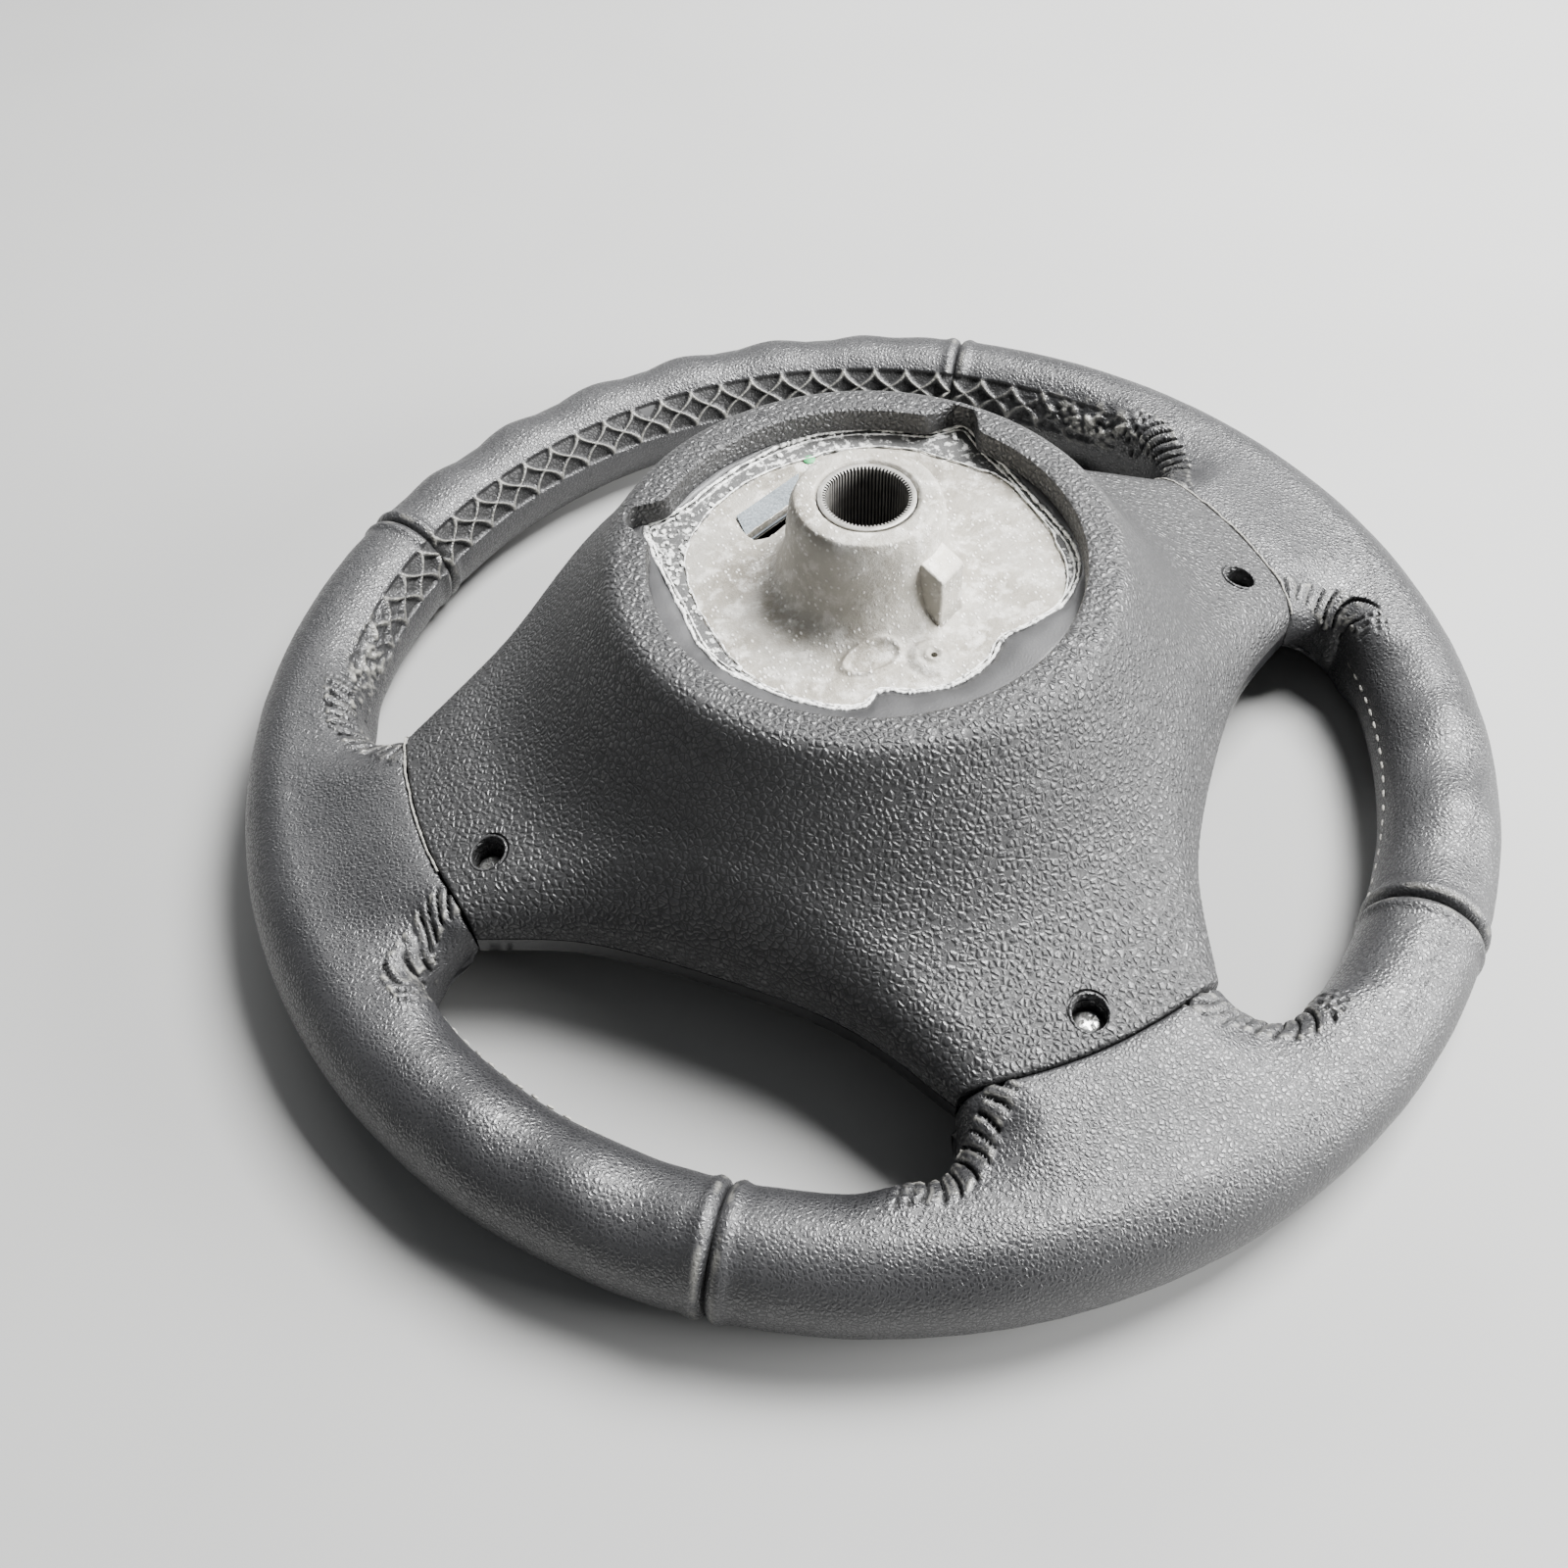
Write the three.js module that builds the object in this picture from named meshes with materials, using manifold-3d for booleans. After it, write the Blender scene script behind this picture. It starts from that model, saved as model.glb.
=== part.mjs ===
// Road-car steering wheel: a leather rim on three spokes, a splined hub and a sprung air bag module.
// Millimetres. The wheel lies on its face. z = 0 is the plane that the rim rests on, +Z runs along the
// steering axis towards the column, +Y is the top of the wheel, and the steering axis is x = y = 0.

import * as THREE from 'three';
import Module from 'manifold-3d';
import { ParametricGeometry } from 'three/addons/geometries/ParametricGeometry.js';
import { mergeVertices } from 'three/addons/utils/BufferGeometryUtils.js';

// Rim
const RIM_OUTER_RADIUS = 185;
const RIM_HALF_WIDTH = 16.3;
const RIM_HALF_HEIGHT = 17.7;
const RIM_RADIUS = RIM_OUTER_RADIUS - RIM_HALF_WIDTH;
const RIM_STEPS = 40;
const RIM_SIDES = 12;
const CORE_RADIUS = 5.5;
const CORE_SIDES = 6;
const LEATHER = 1.3;
const GAP = 0.3;
const SEAM_FROM_TOP = 38;
const SEAM_FROM_BOTTOM = 38;

// Spokes: where the cover meets the leather, and the edges of the side spokes there
const SPOKE_END = 134;
const SIDE_SPOKE_LOW = -30;
const SIDE_SPOKE_HIGH = 42;
const BOTTOM_SPOKE_HALF = 38;
const ROOT_BACK = 38.5;
const ROOT_FRONT = 6;
const ROOT_START = 124;
const ROOT_BEND = 148;
const ROOT_TIP = 161;

// Rear cover and front trim
const RING_OUTER = 70.5;
const RING_OPENING = 59;
const RING_TOP = 91.5;
const RING_BOTTOM = 84.3;
const RING_EDGE = 0.8;
const PARTING_BACK = 28.6;
const PARTING_FRONT = 28.2;
const COVER_WALL = 2.4;
const COVER_EDGE = 33;
const SHOULDER = 13;
const COVER_TOP_EDGE = 97;
const TRIM_FACE = 9;
const TRIM_WALL = 2.6;
const ACCESS_HOLE_RADIUS = 4.5;
const ACCESS_HOLES = { right: [120, -15.6], left: [-120, -15.6], bottom: [0, -126] };

// Hub casting
const HUB_RADIUS = 62;
const PLATE_BACK = 82;
const PLATE_FRONT = 76;
const BOSS_TOP = 110.6;
const SLEEVE_OUTER = 12.95;
const SPLINE_RADIUS = 10.64;
const SLEEVE_BOTTOM = 77;
const SLEEVE_TOP = BOSS_TOP - 0.2;
const SPOKE_ANGLES = [0, 180, 270];
const SPOKE_HALF = 13;
const SPOKE_FRONT = 14;
const SPOKE_BACK = 24;
const POST_RADIUS = 4.8;
const POST_TOP = 35.5;
const SPOKE_TIP = RIM_RADIUS - CORE_RADIUS - 1.5;
const EAR_ANGLES = [40, 140];
const EAR_CIRCLE = 61;
const EAR_NOTCH_RADIUS = 5;
const EAR_RADIUS = 7;
const PIN_SOCKET_RADIUS = 3.2;
const LUG_ANGLE = -62;
const LUG_HALF = 5.2;
const STUD = [2.3, -35.5];
const STUD_RADIUS = 7;
const STUD_TOP = 84.5;
const STUD_HOLE_RADIUS = 1.6;
const SLOT_ANGLE = 20.7;
const SCREW_HEAD_RADIUS = 3.7;
const SCREW_RADIUS = 1.7;
const SCREW_HOLE_RADIUS = 2.1;

// Air bag module and its springs
const PAD_RADIUS = 77.5;
const PAD_OPENING = 79;
const HOUSING_BACK = 47.5;
const SPRING_CIRCLE = 50;
const SPRING_ANGLES = { top_left: 150, top_right: 30, bottom: 270 };
const SPRING_RADIUS = 5;
const SPRING_WIRE_RADIUS = 0.6;
const SPRING_TURNS = 3.5;

// Switch pods in the side spokes
const POD = { x: 100.5, y: 4, width: 31.4, height: 51.4, front: 8.6, back: 25 };
const BUTTON = { width: 25, height: 13.6, pitch: 16, front: 7, back: 15 };
const BUTTON_CLEARANCE = 0.4;
const POCKET_BACK = 19;
const BOARD_THICKNESS = 1.6;

const wasm = await Module();
wasm.setup();

const wheel = new THREE.Group();

// ---- helpers -------------------------------------------------------------------------------------

const radians = THREE.MathUtils.degToRad;

function polar(radius, degrees) {
  return [radius * Math.cos(radians(degrees)), radius * Math.sin(radians(degrees))];
}

// Turns a closed geometry into a solid. Collapsed triangles are dropped and an inside-out mesh is turned.
function solid(geometry) {
  const bare = geometry.index ? geometry.toNonIndexed() : geometry.clone();
  bare.deleteAttribute('normal');
  bare.deleteAttribute('uv');
  const merged = mergeVertices(bare, 1e-3);
  const points = merged.attributes.position.array;
  const triangles = [];
  let volume = 0;
  for (let i = 0; i < merged.index.count; i += 3) {
    const corner = [0, 1, 2].map((k) => merged.index.getX(i + k));
    if (new Set(corner).size < 3) continue;
    triangles.push(corner);
    const [a, b, c] = corner.map((k) => new THREE.Vector3().fromArray(points, 3 * k));
    volume += a.dot(b.cross(c));
  }
  if (volume < 0) triangles.forEach((corner) => corner.reverse());
  return new wasm.Manifold(new wasm.Mesh({
    numProp: 3,
    vertProperties: new Float32Array(points),
    triVerts: new Uint32Array(triangles.flat()),
  }));
}

function join(...parts) {
  return parts.reduce((whole, part) => whole.add(part));
}

function cut(body, ...tools) {
  return tools.reduce((whole, tool) => whole.subtract(tool), body);
}

function rod(radius, low, high, x = 0, y = 0, sides = 24) {
  const geometry = new THREE.CylinderGeometry(radius, radius, high - low, sides);
  return solid(geometry.rotateX(Math.PI / 2).translate(x, y, (low + high) / 2));
}

function block(x0, x1, y0, y1, z0, z1) {
  const geometry = new THREE.BoxGeometry(x1 - x0, y1 - y0, z1 - z0);
  return solid(geometry.translate((x0 + x1) / 2, (y0 + y1) / 2, (z0 + z1) / 2));
}

function shapeOf(points, holeRadius = 0) {
  const shape = new THREE.Shape(points.map(([x, y]) => new THREE.Vector2(x, y)));
  if (holeRadius) shape.holes.push(new THREE.Path().absarc(0, 0, holeRadius, 0, 2 * Math.PI, true));
  return shape;
}

// A flat outline raised along Z from low to high.
function prism(points, low, high, holeRadius = 0) {
  const options = { depth: high - low, bevelEnabled: false, curveSegments: 24 };
  return solid(new THREE.ExtrudeGeometry(shapeOf(points, holeRadius), options).translate(0, 0, low));
}

// A side view in radius and height, carried across from y = low to y = high.
function slab(profile, low, high) {
  const options = { depth: high - low, bevelEnabled: false };
  const geometry = new THREE.ExtrudeGeometry(shapeOf(profile), options);
  return solid(geometry.rotateX(Math.PI / 2).translate(0, high, 0));
}

// A radius and height profile turned about an upright axis. It starts and ends on the axis, or goes
// once round a ring's section.
function turned(profile, steps = 32, x = 0, y = 0) {
  const onAxis = profile[0][0] === 0;
  const line = onAxis ? profile : [...profile, profile[0]];
  const points = line.map(([r, z]) => new THREE.Vector2(r, z));
  return solid(new THREE.LatheGeometry(points, steps).rotateX(Math.PI / 2).translate(x, y, 0));
}

const FINISH = {
  leather: { color: 0x2a2a2b, roughness: 0.5, metalness: 0 },
  foam: { color: 0x1d1d1e, roughness: 0.8, metalness: 0 },
  magnesium: { color: 0xb5b0a4, roughness: 0.6, metalness: 0.7 },
  steel: { color: 0x55575a, roughness: 0.4, metalness: 1 },
  plastic: { color: 0x39393a, roughness: 0.6, metalness: 0 },
  gloss: { color: 0x101011, roughness: 0.15, metalness: 0 },
  board: { color: 0x1f4a2a, roughness: 0.5, metalness: 0 },
  fabric: { color: 0xd9d6cc, roughness: 0.9, metalness: 0 },
};

function add(name, body, finish) {
  const { vertProperties, triVerts } = body.getMesh();
  const geometry = new THREE.BufferGeometry();
  geometry.setAttribute('position', new THREE.BufferAttribute(vertProperties, 3));
  geometry.setIndex(new THREE.BufferAttribute(triVerts, 1));
  geometry.computeVertexNormals();
  const mesh = new THREE.Mesh(geometry, new THREE.MeshStandardMaterial(FINISH[finish]));
  mesh.name = name;
  wheel.add(mesh);
}

// ---- rim: core ring, foam and four leather sections -----------------------------------------------

function rimTube(inset) {
  const width = RIM_HALF_WIDTH - inset;
  const height = RIM_HALF_HEIGHT - inset;
  const geometry = new THREE.TorusGeometry(RIM_RADIUS, width, RIM_SIDES, RIM_STEPS);
  return solid(geometry.scale(1, 1, height / width).translate(0, 0, RIM_HALF_HEIGHT));
}

function coreRing(radius) {
  const geometry = new THREE.TorusGeometry(RIM_RADIUS, radius, CORE_SIDES, RIM_STEPS);
  return solid(geometry.translate(0, 0, RIM_HALF_HEIGHT));
}

// The flared root where a spoke grows out of the rim, drawn for the spoke on +X. It starts inside the
// circle that the cover ends on, and is trimmed back to it afterwards.
function spokeRoot(inset, low, high, lowFlare, highFlare) {
  const plan = [
    [ROOT_START, low + inset], [ROOT_BEND, low - 0.3 * lowFlare + inset], [ROOT_TIP, low - lowFlare + inset],
    [ROOT_TIP, high + highFlare - inset], [ROOT_BEND, high + 0.45 * highFlare - inset],
    [ROOT_START, high - inset],
  ];
  const side = [
    [ROOT_START, ROOT_FRONT + inset], [ROOT_TIP, 3 + inset], [ROOT_TIP, 34 - inset], [150, 36.3 - inset],
    [ROOT_START, ROOT_BACK - inset],
  ];
  return prism(plan, 0, 45).intersect(slab(side, -80, 80));
}

function spokeRoots(inset) {
  const right = spokeRoot(inset, SIDE_SPOKE_LOW, SIDE_SPOKE_HIGH, 8, 20);
  const bottom = spokeRoot(inset, -BOTTOM_SPOKE_HALF, BOTTOM_SPOKE_HALF, 14, 14);
  return join(right, right.mirror([1, 0, 0]), bottom.rotate([0, 0, -90]));
}

// A wedge of the whole height between two directions, less half of the butt gap on each side.
function wedge(from, to) {
  const halfGap = THREE.MathUtils.radToDeg(GAP / 2 / RIM_RADIUS);
  const reach = 300;
  const arc = [0, 0.25, 0.5, 0.75, 1].map((share) => (
    polar(reach, THREE.MathUtils.lerp(from + halfGap, to - halfGap, share))
  ));
  return prism([[0, 0], ...arc], -1, 60);
}

const coverSpace = rod(SPOKE_END + GAP, -1, 60, 0, 0, 80);
const leatherShell = cut(
  join(rimTube(0), spokeRoots(0)),
  join(rimTube(LEATHER), spokeRoots(LEATHER)),
  coverSpace,
);
const SECTIONS = {
  leather_top: [90 - SEAM_FROM_TOP, 90 + SEAM_FROM_TOP],
  leather_left: [90 + SEAM_FROM_TOP, 270 - SEAM_FROM_BOTTOM],
  leather_bottom: [270 - SEAM_FROM_BOTTOM, 270 + SEAM_FROM_BOTTOM],
  leather_right: [270 + SEAM_FROM_BOTTOM, 450 - SEAM_FROM_TOP],
};
for (const [name, [from, to]] of Object.entries(SECTIONS)) {
  add(name, leatherShell.intersect(wedge(from, to)), 'leather');
}

// Slots in the foam for the ends of the casting's spokes
const spokeSlots = SPOKE_ANGLES.map((angle) => block(
  120, RIM_RADIUS - CORE_RADIUS + 1,
  -SPOKE_HALF - GAP, SPOKE_HALF + GAP,
  SPOKE_FRONT - GAP, SPOKE_BACK + GAP,
).rotate([0, 0, angle]));
const foam = join(rimTube(LEATHER + GAP), spokeRoots(LEATHER + GAP));
add('rim_foam', cut(foam, coverSpace, coreRing(CORE_RADIUS + GAP), ...spokeSlots), 'foam');
add('rim_core', coreRing(CORE_RADIUS), 'steel');

// ---- outline shared by the rear cover and the front trim ------------------------------------------

const lowerEdge = new THREE.SplineCurve([
  [BOTTOM_SPOKE_HALF, -128.5], [52, -98], [75, -70.5], [104, -44], [130.6, SIDE_SPOKE_LOW],
].map(([x, y]) => new THREE.Vector2(x, y)));
const upperEdge = new THREE.SplineCurve([
  [127.25, SIDE_SPOKE_HIGH], [91, 62], [58, 86], [30, 94.5], [0, COVER_TOP_EDGE],
].map(([x, y]) => new THREE.Vector2(x, y)));

function endArc(from, to) {
  return new THREE.EllipseCurve(0, 0, SPOKE_END, SPOKE_END, from, to);
}

function bearing(point) {
  return Math.atan2(point.y, point.x);
}

// The right half from the bottom of the wheel to the top, then the same points mirrored.
function outline() {
  const stretches = [
    [endArc(-Math.PI / 2, bearing(lowerEdge.points[0])), 3],
    [lowerEdge, 10],
    [endArc(bearing(lowerEdge.points[4]), bearing(upperEdge.points[0])), 6],
    [upperEdge, 9],
  ];
  const right = stretches.flatMap(([curve, steps]) => curve.getPoints(steps).slice(0, -1));
  right.push(new THREE.Vector2(0, COVER_TOP_EDGE));
  const left = right.slice(1, -1).reverse().map((point) => new THREE.Vector2(-point.x, point.y));
  return [...right, ...left].map((point) => [point.x, point.y]);
}

const edge = outline();
const sideEdges = [lowerEdge, upperEdge].flatMap((curve) => curve.getPoints(60));

// Moves every point of a closed outline inwards, square to the line through its two neighbours.
function inset(points, distance) {
  return points.map(([x, y], i) => {
    const [px, py] = points[(i + points.length - 1) % points.length];
    const [nx, ny] = points[(i + 1) % points.length];
    const length = Math.hypot(nx - px, ny - py);
    return [x - (distance * (ny - py)) / length, y + (distance * (nx - px)) / length];
  });
}

// ---- rear cover ----------------------------------------------------------------------------------

// Height of the cover's crown against distance from the axis: a cone under the ring that flares out
const crown = [
  [RING_OUTER, 91], [77, 80], [84, 70], [90, 62], [98, 54], [108, 48], [121, 44], [SPOKE_END + 2, 39.5],
];

function crownHeight(radius) {
  const k = Math.max(1, crown.findIndex(([r]) => r >= Math.min(radius, SPOKE_END + 2)));
  const [[r0, z0], [r1, z1]] = [crown[k - 1], crown[k]];
  return THREE.MathUtils.lerp(z0, z1, (radius - r0) / (r1 - r0));
}

// The crown falls to the cover's edge in a quarter round of the shoulder's width.
function coverHeight(x, y, wall) {
  const away = Math.min(...sideEdges.map((point) => Math.hypot(point.x - Math.abs(x), point.y - y)));
  const t = Math.min(1, Math.max(0, away - wall) / SHOULDER);
  const rise = Math.sqrt(1 - (1 - t) ** 2);
  const outwards = wall ? 1.6 : 0;
  const top = crownHeight(Math.hypot(x, y) + outwards);
  return COVER_EDGE + (top - COVER_EDGE) * rise - (wall ? 2 : 0);
}

function coverSection([x, y]) {
  const end = Math.hypot(x, y);
  const at = (radius, height) => new THREE.Vector3((x / end) * radius, (y / end) * radius, height);
  const on = (radius, wall) => at(radius, coverHeight((x / end) * radius, (y / end) * radius, wall));
  const along = (share) => THREE.MathUtils.lerp(RING_OUTER, end, share);
  const inner = end - COVER_WALL;
  return [
    at(RING_OUTER, RING_BOTTOM), at(RING_OUTER, RING_TOP - RING_EDGE),
    ...[0.15, 0.35, 0.55, 0.78, 0.93, 1].map((share) => on(along(share), 0)),
    at(end, PARTING_BACK), at(inner, PARTING_BACK), on(inner, COVER_WALL),
    ...[0.78, 0.55, 0.35].map((share) => on(along(share), COVER_WALL)),
    on(73, COVER_WALL),
  ];
}

function rearCover() {
  const sections = edge.map(coverSection);
  const count = sections[0].length;
  const surface = new ParametricGeometry((u, v, target) => {
    const section = sections[Math.round(u * sections.length) % sections.length];
    target.copy(section[Math.round(v * count) % count]);
  }, sections.length, count);
  return solid(surface);
}

const accessCuts = Object.values(ACCESS_HOLES).map(([x, y]) => rod(ACCESS_HOLE_RADIUS, 30, 60, x, y, 20));
add('rear_cover', cut(rearCover(), ...accessCuts), 'plastic');

// The flat ring round the hub's well, with a round notch for each ear of the casting
const ringSection = [
  [RING_OPENING, RING_BOTTOM], [RING_OPENING, RING_TOP - RING_EDGE], [RING_OPENING + RING_EDGE, RING_TOP],
  [RING_OUTER - GAP - RING_EDGE, RING_TOP], [RING_OUTER - GAP, RING_TOP - RING_EDGE],
  [RING_OUTER - GAP, RING_BOTTOM],
];
const earNotches = EAR_ANGLES.map((angle) => (
  rod(EAR_NOTCH_RADIUS, RING_BOTTOM - 1, RING_TOP + 1, ...polar(EAR_CIRCLE, angle), 16)
));
add('cover_ring', cut(turned(ringSection, 48), ...earNotches), 'plastic');

// ---- front trim ----------------------------------------------------------------------------------

const podWindow = block(
  POD.x - POD.width / 2 - GAP, POD.x + POD.width / 2 + GAP,
  POD.y - POD.height / 2 - GAP, POD.y + POD.height / 2 + GAP,
  TRIM_FACE - 1, TRIM_FACE + TRIM_WALL + 1,
);
const trimNotches = SPOKE_ANGLES.map((angle) => (
  block(126, 140, -SPOKE_HALF - 1, SPOKE_HALF + 1, TRIM_FACE + TRIM_WALL, 30).rotate([0, 0, angle])
));
const trimPocket = prism(inset(edge, TRIM_WALL), TRIM_FACE + TRIM_WALL, 30, PAD_OPENING + TRIM_WALL);
add('front_trim', cut(
  prism(edge, TRIM_FACE, PARTING_FRONT, PAD_OPENING),
  trimPocket, podWindow, podWindow.mirror([1, 0, 0]), ...trimNotches,
), 'gloss');

// ---- hub casting ---------------------------------------------------------------------------------

// Side view of a spoke: from the plate, down under the cover, and out level into the rim
const SPOKE_PROFILE = [
  [50, 76.1], [58, 75], [70, 63], [83, 49], [97, 37], [110, 32], [117, 29], [124, 20], [131, SPOKE_FRONT],
  [SPOKE_TIP, SPOKE_FRONT], [SPOKE_TIP, SPOKE_BACK], [131, SPOKE_BACK], [122, 33.5],
  [115.5, 35.3], [109, 41.5], [98, 46.5], [84, 59], [72, 73], [61, 81], [50, 81.9],
];
const BOSS_PROFILE = [
  [0, PLATE_FRONT], [30, PLATE_FRONT], [29.5, 82.2], [26.2, 84.5], [23.8, 88], [22.2, 93], [21.6, 100],
  [20.8, 107], [18.9, BOSS_TOP], [0, BOSS_TOP],
];

// Lug cast on the side of the boss: an upright block with a sloping top
function bossLug() {
  const side = [[15, 78], [27.8, 78], [27.6, 98.5], [19, 102.5], [15, 102.5]];
  return slab(side, -LUG_HALF, LUG_HALF).rotate([0, 0, LUG_ANGLE]);
}

// Window in the plate beside the boss, square to its own direction
function hubSlot() {
  const outline = [[-9.5, 34], [-9.5, 37], [13, 37], [15, 34.5], [13, 31.4], [-6, 31.4]];
  return prism(outline, 70, 90).rotate([0, 0, SLOT_ANGLE]);
}

function hubCasting() {
  const plate = rod(HUB_RADIUS, PLATE_FRONT, PLATE_BACK, 0, 0, 36);
  const ears = EAR_ANGLES.map((angle) => (
    rod(EAR_RADIUS, PLATE_FRONT, PLATE_BACK, ...polar(HUB_RADIUS, angle), 16)
  ));
  const spokes = SPOKE_ANGLES.map((angle) => (
    slab(SPOKE_PROFILE, -SPOKE_HALF, SPOKE_HALF).rotate([0, 0, angle])
  ));
  const posts = [
    rod(POST_RADIUS, 27, POST_TOP, ...ACCESS_HOLES.right, 16),
    rod(POST_RADIUS, 27, POST_TOP, ...ACCESS_HOLES.left, 16),
    rod(POST_RADIUS, 18, POST_TOP, ...ACCESS_HOLES.bottom, 16),
  ];
  const stud = rod(STUD_RADIUS, PLATE_FRONT, STUD_TOP, ...STUD, 20);
  const body = join(plate, turned(BOSS_PROFILE, 24), bossLug(), stud, ...ears, ...spokes, ...posts);
  const pinSockets = Object.values(SPRING_ANGLES).map((angle) => (
    rod(PIN_SOCKET_RADIUS, PLATE_FRONT - 1, 80, ...polar(SPRING_CIRCLE, angle), 12)
  ));
  const screwHoles = Object.values(ACCESS_HOLES).map(([x, y]) => rod(SCREW_HOLE_RADIUS, 10, 40, x, y, 12));
  return cut(
    body, rod(SLEEVE_OUTER + GAP, 70, 120), hubSlot(), rod(STUD_HOLE_RADIUS, 70, 90, ...STUD, 12),
    ...pinSockets, ...screwHoles,
  );
}

add('hub_casting', hubCasting(), 'magnesium');
add('spline_sleeve', turned([
  [SPLINE_RADIUS, SLEEVE_BOTTOM], [SPLINE_RADIUS, SLEEVE_TOP], [SLEEVE_OUTER, SLEEVE_TOP],
  [SLEEVE_OUTER, SLEEVE_BOTTOM],
], 36), 'steel');
add('foam_ledge', turned([
  [50.5, PLATE_BACK + GAP], [51, 84], [58.6, 84], [58.6, PLATE_BACK + GAP],
], 32), 'foam');

// Screws at the bottom of the access holes
for (const [side, [x, y]] of Object.entries(ACCESS_HOLES)) {
  const screw = turned([
    [0, 24], [SCREW_RADIUS, 24], [SCREW_RADIUS, POST_TOP + GAP], [SCREW_HEAD_RADIUS, POST_TOP + GAP],
    [SCREW_HEAD_RADIUS, 37.2], [2.6, 38.4], [0, 38.6],
  ], 12, x, y);
  add(`spoke_screw_${side}`, screw, 'steel');
}

// ---- air bag module ------------------------------------------------------------------------------

add('horn_pad', turned([
  [0, 4], [30, 4.3], [58, 6], [71, 8.6], [PAD_RADIUS - 0.8, 12.5], [PAD_RADIUS, 16], [PAD_RADIUS, 27],
  [PAD_RADIUS - 2.5, 27], [PAD_RADIUS - 2.5, 17], [72, 12.6], [57, 9.6], [0, 7.6],
]), 'plastic');
add('bag_housing', turned([
  [38.6, 46], [63.2, 46], [63.2, 20], [73.5, 20], [73.5, 21.6], [64.8, 21.6], [64.8, HOUSING_BACK],
  [38.6, HOUSING_BACK],
], 24), 'steel');
add('folded_bag', turned([
  [0.6, 10.6], [56, 12.6], [62.4, 19], [62.4, 43], [60, 45.4], [38.2, 45.4], [38.2, 33], [0.6, 33],
], 18), 'fabric');
add('inflator', turned([
  [0, 33.6], [34, 33.6], [37, 36.6], [37, HOUSING_BACK + GAP], [44, HOUSING_BACK + GAP], [44, 49.6],
  [37, 49.6], [37, 59], [34, 62], [0, 62],
], 20), 'steel');

// A helix of round wire from the housing to the underside of the plate
class SpringLine extends THREE.Curve {
  constructor(x, y, low, high, turns) {
    super();
    Object.assign(this, { x, y, low, high, turns });
  }

  getPoint(t, target = new THREE.Vector3()) {
    const [dx, dy] = polar(SPRING_RADIUS, 360 * this.turns * t);
    return target.set(this.x + dx, this.y + dy, THREE.MathUtils.lerp(this.low, this.high, t));
  }
}

const wireCircle = new THREE.EllipseCurve(0, 0, SPRING_WIRE_RADIUS, SPRING_WIRE_RADIUS, 0, 2 * Math.PI);
const wireSection = new THREE.Shape(wireCircle.getPoints(4).slice(0, 4));

for (const [place, angle] of Object.entries(SPRING_ANGLES)) {
  const [x, y] = polar(SPRING_CIRCLE, angle);
  const line = new SpringLine(x, y, HOUSING_BACK + 1, PLATE_FRONT - 1, SPRING_TURNS);
  const coil = new THREE.ExtrudeGeometry(wireSection, { steps: 28, extrudePath: line, bevelEnabled: false });
  add(`horn_spring_${place}`, solid(coil), 'steel');
  add(`guide_pin_${place}`, turned([
    [0, HOUSING_BACK + GAP], [3.6, HOUSING_BACK + GAP], [3.6, 49.4], [2.4, 49.4], [2.4, 76.6], [1.6, 77.6],
    [0, 77.6],
  ], 8, x, y), 'steel');
}

// ---- switch pods ---------------------------------------------------------------------------------

const SIDES = { right: 1, left: -1 };
const BUTTON_ROWS = { upper: 1, middle: 0, lower: -1 };

function onSide(sign, body) {
  return sign > 0 ? body : body.mirror([1, 0, 0]);
}

function centredBlock(width, height, y, z0, z1) {
  return block(POD.x - width / 2, POD.x + width / 2, y - height / 2, y + height / 2, z0, z1);
}

for (const [side, sign] of Object.entries(SIDES)) {
  const rows = Object.entries(BUTTON_ROWS).map(([row, k]) => [row, POD.y + k * BUTTON.pitch]);
  const shell = centredBlock(POD.width, POD.height, POD.y, POD.front, POD.back);
  const pockets = rows.map(([, y]) => (
    centredBlock(
      BUTTON.width + 2 * BUTTON_CLEARANCE, BUTTON.height + 2 * BUTTON_CLEARANCE, y,
      POD.front - 1, POCKET_BACK,
    )
  ));
  add(`switch_pod_${side}`, onSide(sign, cut(shell, ...pockets)), 'plastic');
  const boardFront = POD.back + GAP;
  const board = centredBlock(POD.width - 3, POD.height - 6, POD.y, boardFront, boardFront + BOARD_THICKNESS);
  add(`switch_board_${side}`, onSide(sign, board), 'board');
  for (const [row, y] of rows) {
    const cap = centredBlock(BUTTON.width, BUTTON.height, y, BUTTON.front, BUTTON.back);
    add(`button_${side}_${row}`, onSide(sign, cap), 'gloss');
  }
}

export default wheel;
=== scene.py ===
"""Looks of a leather-rimmed road-car steering wheel that lies on its face, hub upwards.

The wheel is drawn in millimetres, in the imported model's frame. z = 0 is the plane that the rim rests
on, +Z points along the steering axis to the column, and +Y is the top of the wheel.
"""

import math

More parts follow.
